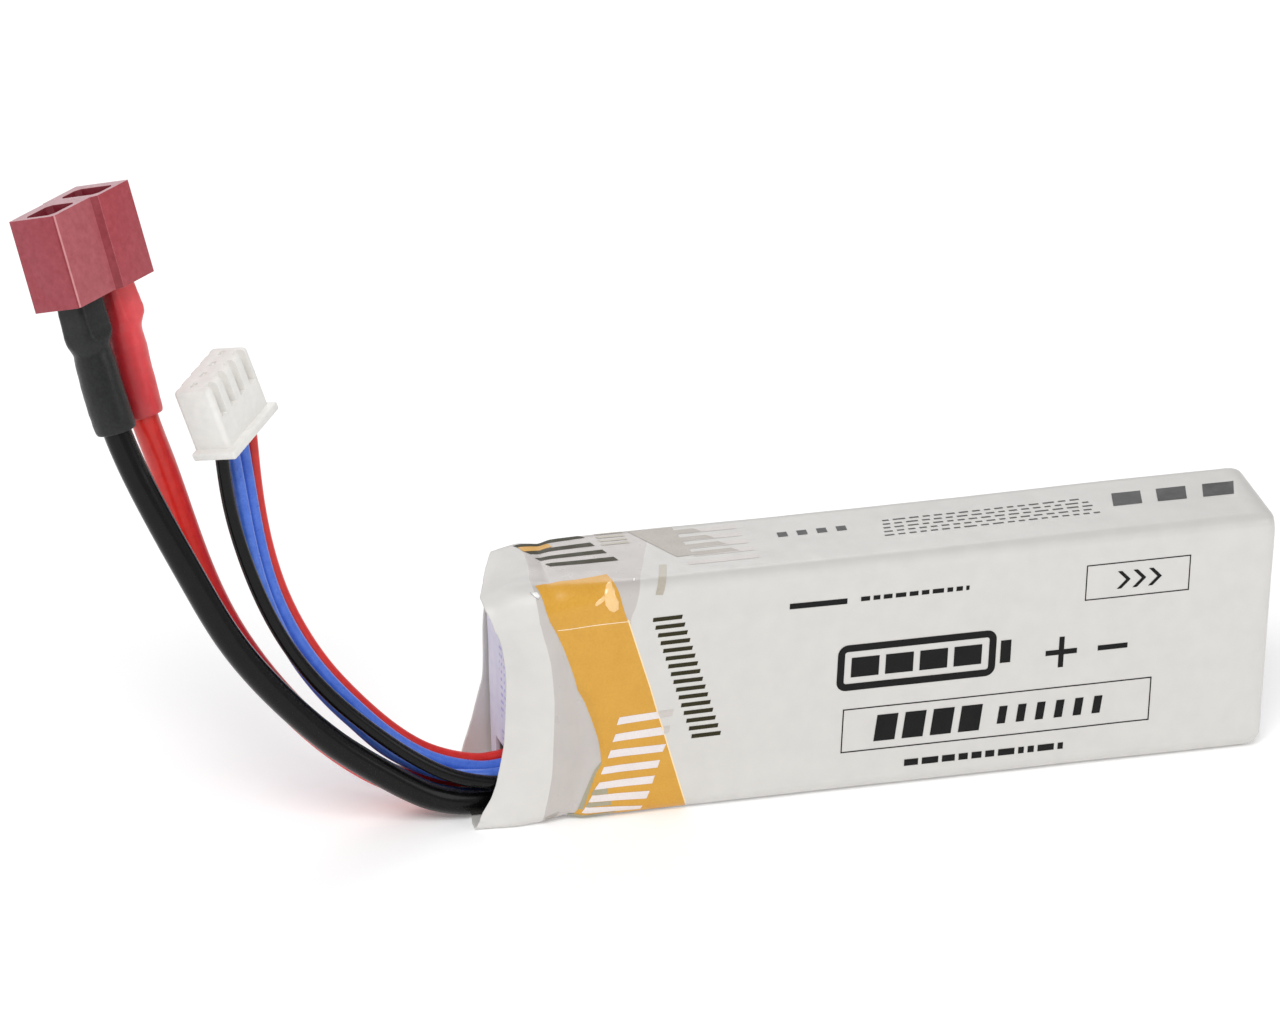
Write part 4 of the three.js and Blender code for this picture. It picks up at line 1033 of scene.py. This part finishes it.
sl_red = glue_sleeve("glue_sleeve_red", RED_LINE, RED_PROF, M["sh_red"], "sleeve_red", 5.0)


# ------------------------------------------------------------------ plugs
def prism(name, outline, z0, z1):
    n = len(outline)
    v = [(x, y, z0) for x, y in outline] + [(x, y, z1) for x, y in outline]
    f = [tuple(range(n))[::-1], tuple(range(n, 2 * n))] + [(i, (i + 1) % n, n + (i + 1) % n, n + i) for i in range(n)]
    me = bpy.data.meshes.new(name)
    me.from_pydata([Vector(a) * MM for a in v], [], f)
    o = link(bpy.data.objects.new(name, me))
    b = bmesh.new()
    b.from_mesh(me)
    bmesh.ops.recalc_face_normals(b, faces=b.faces)
    b.to_mesh(me)
    b.free()
    return o


def rect(x0, x1, y0, y1, ch=0.0):
    if ch <= 0:
        return [(x0, y0), (x1, y0), (x1, y1), (x0, y1)]
    return [(x0 + ch, y0), (x1 - ch, y0), (x1, y0 + ch), (x1, y1 - ch), (x1 - ch, y1), (x0 + ch, y1), (x0, y1 - ch), (x0, y0 + ch)]


def carve(o, cutters, bevel, segs=3, angle=28, kind="DIFFERENCE"):
    for c in cutters:
        md = o.modifiers.new("cut", "BOOLEAN")
        md.operation = kind
        md.solver = "EXACT"
        md.object = c
        apply_mods(o)
        bpy.data.objects.remove(c)
    if bevel:
        md = o.modifiers.new("edge", "BEVEL")
        md.width = bevel * MM
        md.segments = segs
        md.limit_method = "ANGLE"
        md.angle_limit = math.radians(angle)
        md.harden_normals = False
        apply_mods(o)
    return o


def seat(o, origin, ax, ay, az, mat):
    m_ = Matrix.Identity(4)
    for i, a in enumerate((ax, ay, az)):
        for j in range(3):
            m_[j][i] = a[j]
    m_.translation = origin * MM
    o.data.transform(m_)
    if mat is not None:
        o.data.materials.clear()
        o.data.materials.append(mat)
    o.data.update()
    smooth_by_angle(o, 30)
    return o


hl = 7.1
corner_arc = []
for k in range(5):
    a = math.radians(180 + 90 * k / 4)
    corner_arc.append((-hl + 0.6 + 0.6 * math.cos(a), -3.5 + 0.6 + 0.6 * math.sin(a)))
t_out = corner_arc + [(0.3, -3.5), (0.85, -4.4), (hl, -4.4), (hl, 3.8), (0.2, 3.8), (-0.1, 3.5), (-hl, 3.5)]
tplug = prism("t_plug_shell", t_out, 0.0, 11.75)


def hexed(x0, x1, y0, y1, c):
    return [(x0 + c, y0), (x1 - c, y0), (x1, y0 + c * 0.8), (x1, y1 - c * 0.8), (x1 - c, y1), (x0 + c, y1), (x0, y1 - c * 0.8), (x0, y0 + c * 0.8)]


cut = [prism("c1", hexed(-5.8, -1.2, -1.3, 1.3, 0.5), 2.2, 9.0), prism("c2", hexed(2.5, 5.2, -3.05, 2.3, 0.5), 2.2, 9.0),
       prism("c6", hexed(-6.35, -1.2, -2.6, 1.75, 0.7), 8.0, 13.0), prism("c7", hexed(1.6, 5.4, -3.6, 2.3, 0.7), 8.0, 13.0),
       prism("c3", rect(-4.4, -1.3, 0.1, 1.3, 0.1), -1, 3.0), prism("c4", rect(2.5, 3.7, -1.7, 1.4, 0.1), -1, 3.0)]
mark = []
for k in range(24):
    a = 2 * math.pi * k / 24
    mark.append((0.75 * math.cos(a), 0.75 * math.sin(a)))
mk = prism("c5", mark, -0.5, 0.06)
mk.data.transform(Matrix.Translation(Vector((-hl * MM, 1.7 * MM, 2.4 * MM))) @ Matrix.Rotation(math.radians(90), 4, "Y"))
carve(tplug, cut + [mk], 0.16)
for k in ("nylon_red", "nylon_side", "nylon_step", "nylon_right", "nylon_edge", "nylon_rim", "nylon_deep"):
    tplug.data.materials.append(M[k])
# faces take the lit or shaded nylon copies by where they sit and which way they face: painted shade in the slots, on
# the step, the left face and the front right face; painted highlight on the top face and the bevels
for p_ in tplug.data.polygons:
    c, n = p_.center / MM, p_.normal
    flat_on = max(abs(n.x), abs(n.y), abs(n.z)) > 0.985
    in_near = -6.42 < c.x < -1.13 and -2.67 < c.y < 1.82
    in_far = 1.53 < c.x < 5.47 and -3.67 < c.y < 2.37
    if (in_near or in_far) and c.z < 11.55:
        k = 6
    elif c.z > 11.5:
        k = 5 if n.z > 0.9 else 4
    elif c.z < 0.25:
        k = 0
    elif n.x * -0.853 + n.y * -0.521 > 0.985:
        k = 2
    elif c.y < 0 and c.x < -6.4 and min(abs(n.x), abs(n.y)) > 0.2:
        k = 4
    elif n.x < -0.9:
        k = 1
    elif n.y < -0.9 and c.x > 0.6:
        k = 3
    elif not flat_on and c.x > 0.5 and c.y < -4.0 and c.x < 3:
        k = 4
    else:
        k = 0
    p_.material_index = k
seat(tplug, T_O, T_X, T_Y, T_Z, None)
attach(tplug, "pack")
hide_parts("t_plug_housing")

xh = prism("balance_plug_shell", rect(-5.3, 5.3, -2.6, 2.6), 0.3, 9.3)
carve(xh, [], 0.62, 5)
flange = prism("flange", rect(-6.3, 5.5, -3.7, 2.5), 0.0, 1.1)
carve(flange, [], 0.3, 4)
carve(xh, [flange], 0, kind="UNION")
cuts = []
for i in range(4):
    x = (i - 1.5) * 2.5
    cuts += [prism("k1", rect(x - 0.95, x + 0.95, -1.3, 1.4), -1, 8.2), prism("k2", rect(x - 0.5, x + 0.5, -0.1, 0.6), 9.0, 11),
             prism("k3", rect(x - 0.62, x + 0.62, -4, -1.5), 5.0, 11), prism("k4", rect(x - 0.6, x + 0.6, 2.1, 4), 8.5, 11)]
carve(xh, cuts, 0.16, 3, 50)
seat(xh, B_O, B_X, B_Y, B_Z, M["nylon_white"])
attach(xh, "pack")
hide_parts("balance_plug_housing")

# ------------------------------------------------------------------ lead objects: one curve per lead, with its CAD part hidden
MATS = {"main_lead_black": ("si_black", "silicone_black"), "main_lead_red": ("si_red", "silicone_red"), "balance_lead_black": ("si_black", "silicone_black"),
        "balance_lead_blue_1": ("si_blue", "silicone_blue"), "balance_lead_blue_2": ("si_blue", "silicone_blue"), "balance_lead_red": ("si_red", "silicone_red")}
ON = {"main_lead_black": [sl_black, tplug, "plug_solder_black", "t_plug_contact_black", "t_plug_spring_black"],
      "main_lead_red": [sl_red, "plug_solder_red", "t_plug_contact_red", "t_plug_spring_red"],
      "balance_lead_black": [xh, "balance_terminal_1"], "balance_lead_blue_1": ["balance_terminal_2"],
      "balance_lead_blue_2": ["balance_terminal_3"], "balance_lead_red": ["balance_terminal_4"]}
for node, (mk_, slot_name) in MATS.items():
    dia = DIA.get(node, 1.7)
    o, length = lead(node + "_flex", ROUTES[node], dia, M[mk_])
    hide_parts(node)
    [x if not isinstance(x, str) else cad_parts[x] for x in ON.get(node, [])]

# ------------------------------------------------------------------ CAD pieces that stay, with their materials
KEEP = {"foil": ["cell_1", "cell_2", "cell_3"], "alu": ["cell_%d_positive_tab" % i for i in (1, 2, 3)], "nickel": ["cell_%d_negative_tab" % i for i in (1, 2, 3)],
        "tape": ["cell_tape_1", "cell_tape_2"], "amber": ["binding_tape_front", "binding_tape_rear"], "grey_card": ["insulation_card"], "board": ["tab_board"],
        "solder": ["main_solder_black", "main_solder_red", "balance_solder_black", "balance_solder_blue_1", "balance_solder_blue_2", "balance_solder_red", "plug_solder_black", "plug_solder_red"],
        "gold": ["t_plug_contact_black", "t_plug_contact_red"], "steel": ["t_plug_spring_black", "t_plug_spring_red"], "tin": ["balance_terminal_%d" % i for i in (1, 2, 3, 4)]}
for key, names in KEEP.items():
    for nm in names:
        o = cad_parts[nm]
        for s in o.material_slots:
            s.material = M[key]

# ------------------------------------------------------------------ floor, world and lights
me = bpy.data.meshes.new("floor")
S = 3.0
me.from_pydata([(-S, -S, 0), (S, -S, 0), (S, S, 0), (-S, S, 0)], [], [(0, 1, 2, 3)])
floor = link(bpy.data.objects.new("floor", me))
fm = Mat("floor", Roughness=0.9, Specular_IOR_Level=0.1)
fm.color(fm.ramp(fm.noise(0.02, 2.0), [(0.3, (0.955, 0.955, 0.955, 1)), (0.7, (0.965, 0.965, 0.965, 1))]))
fm.bsdf.inputs["Emission Color"].default_value = (1.0, 1.0, 1.0, 1.0)
fm.bsdf.inputs["Emission Strength"].default_value = 0.14
me.materials.append(fm.mat)

world = bpy.data.worlds.new("world")
bpy.context.scene.world = world
world.use_nodes = True
bg = world.node_tree.nodes["Background"]
bg.inputs[0].default_value = (1.0, 1.0, 1.0, 1.0)
bg.inputs[1].default_value = 0.50


def area(name, loc, aim, size, power, size_y=None):
    d = bpy.data.lights.new(name, "AREA")
    d.energy = power
    d.size = size
    if size_y:
        d.shape = "RECTANGLE"
        d.size_y = size_y
    o = link(bpy.data.objects.new(name, d))
    o.location = loc
    o.rotation_euler = (Vector(aim) - Vector(loc)).to_track_quat("-Z", "Y").to_euler()
    return o


area("key", (-0.75, -0.95, 1.45), (0, 0, 0.02), 0.9, 17.0)
area("fill", (1.1, -1.0, 0.8), (0, 0, 0.02), 0.8, 3.5)
area("back", (0.2, 1.2, 1.0), (0, 0, 0.02), 0.8, 4.5)
bpy.context.scene.view_settings.view_transform = "Standard"
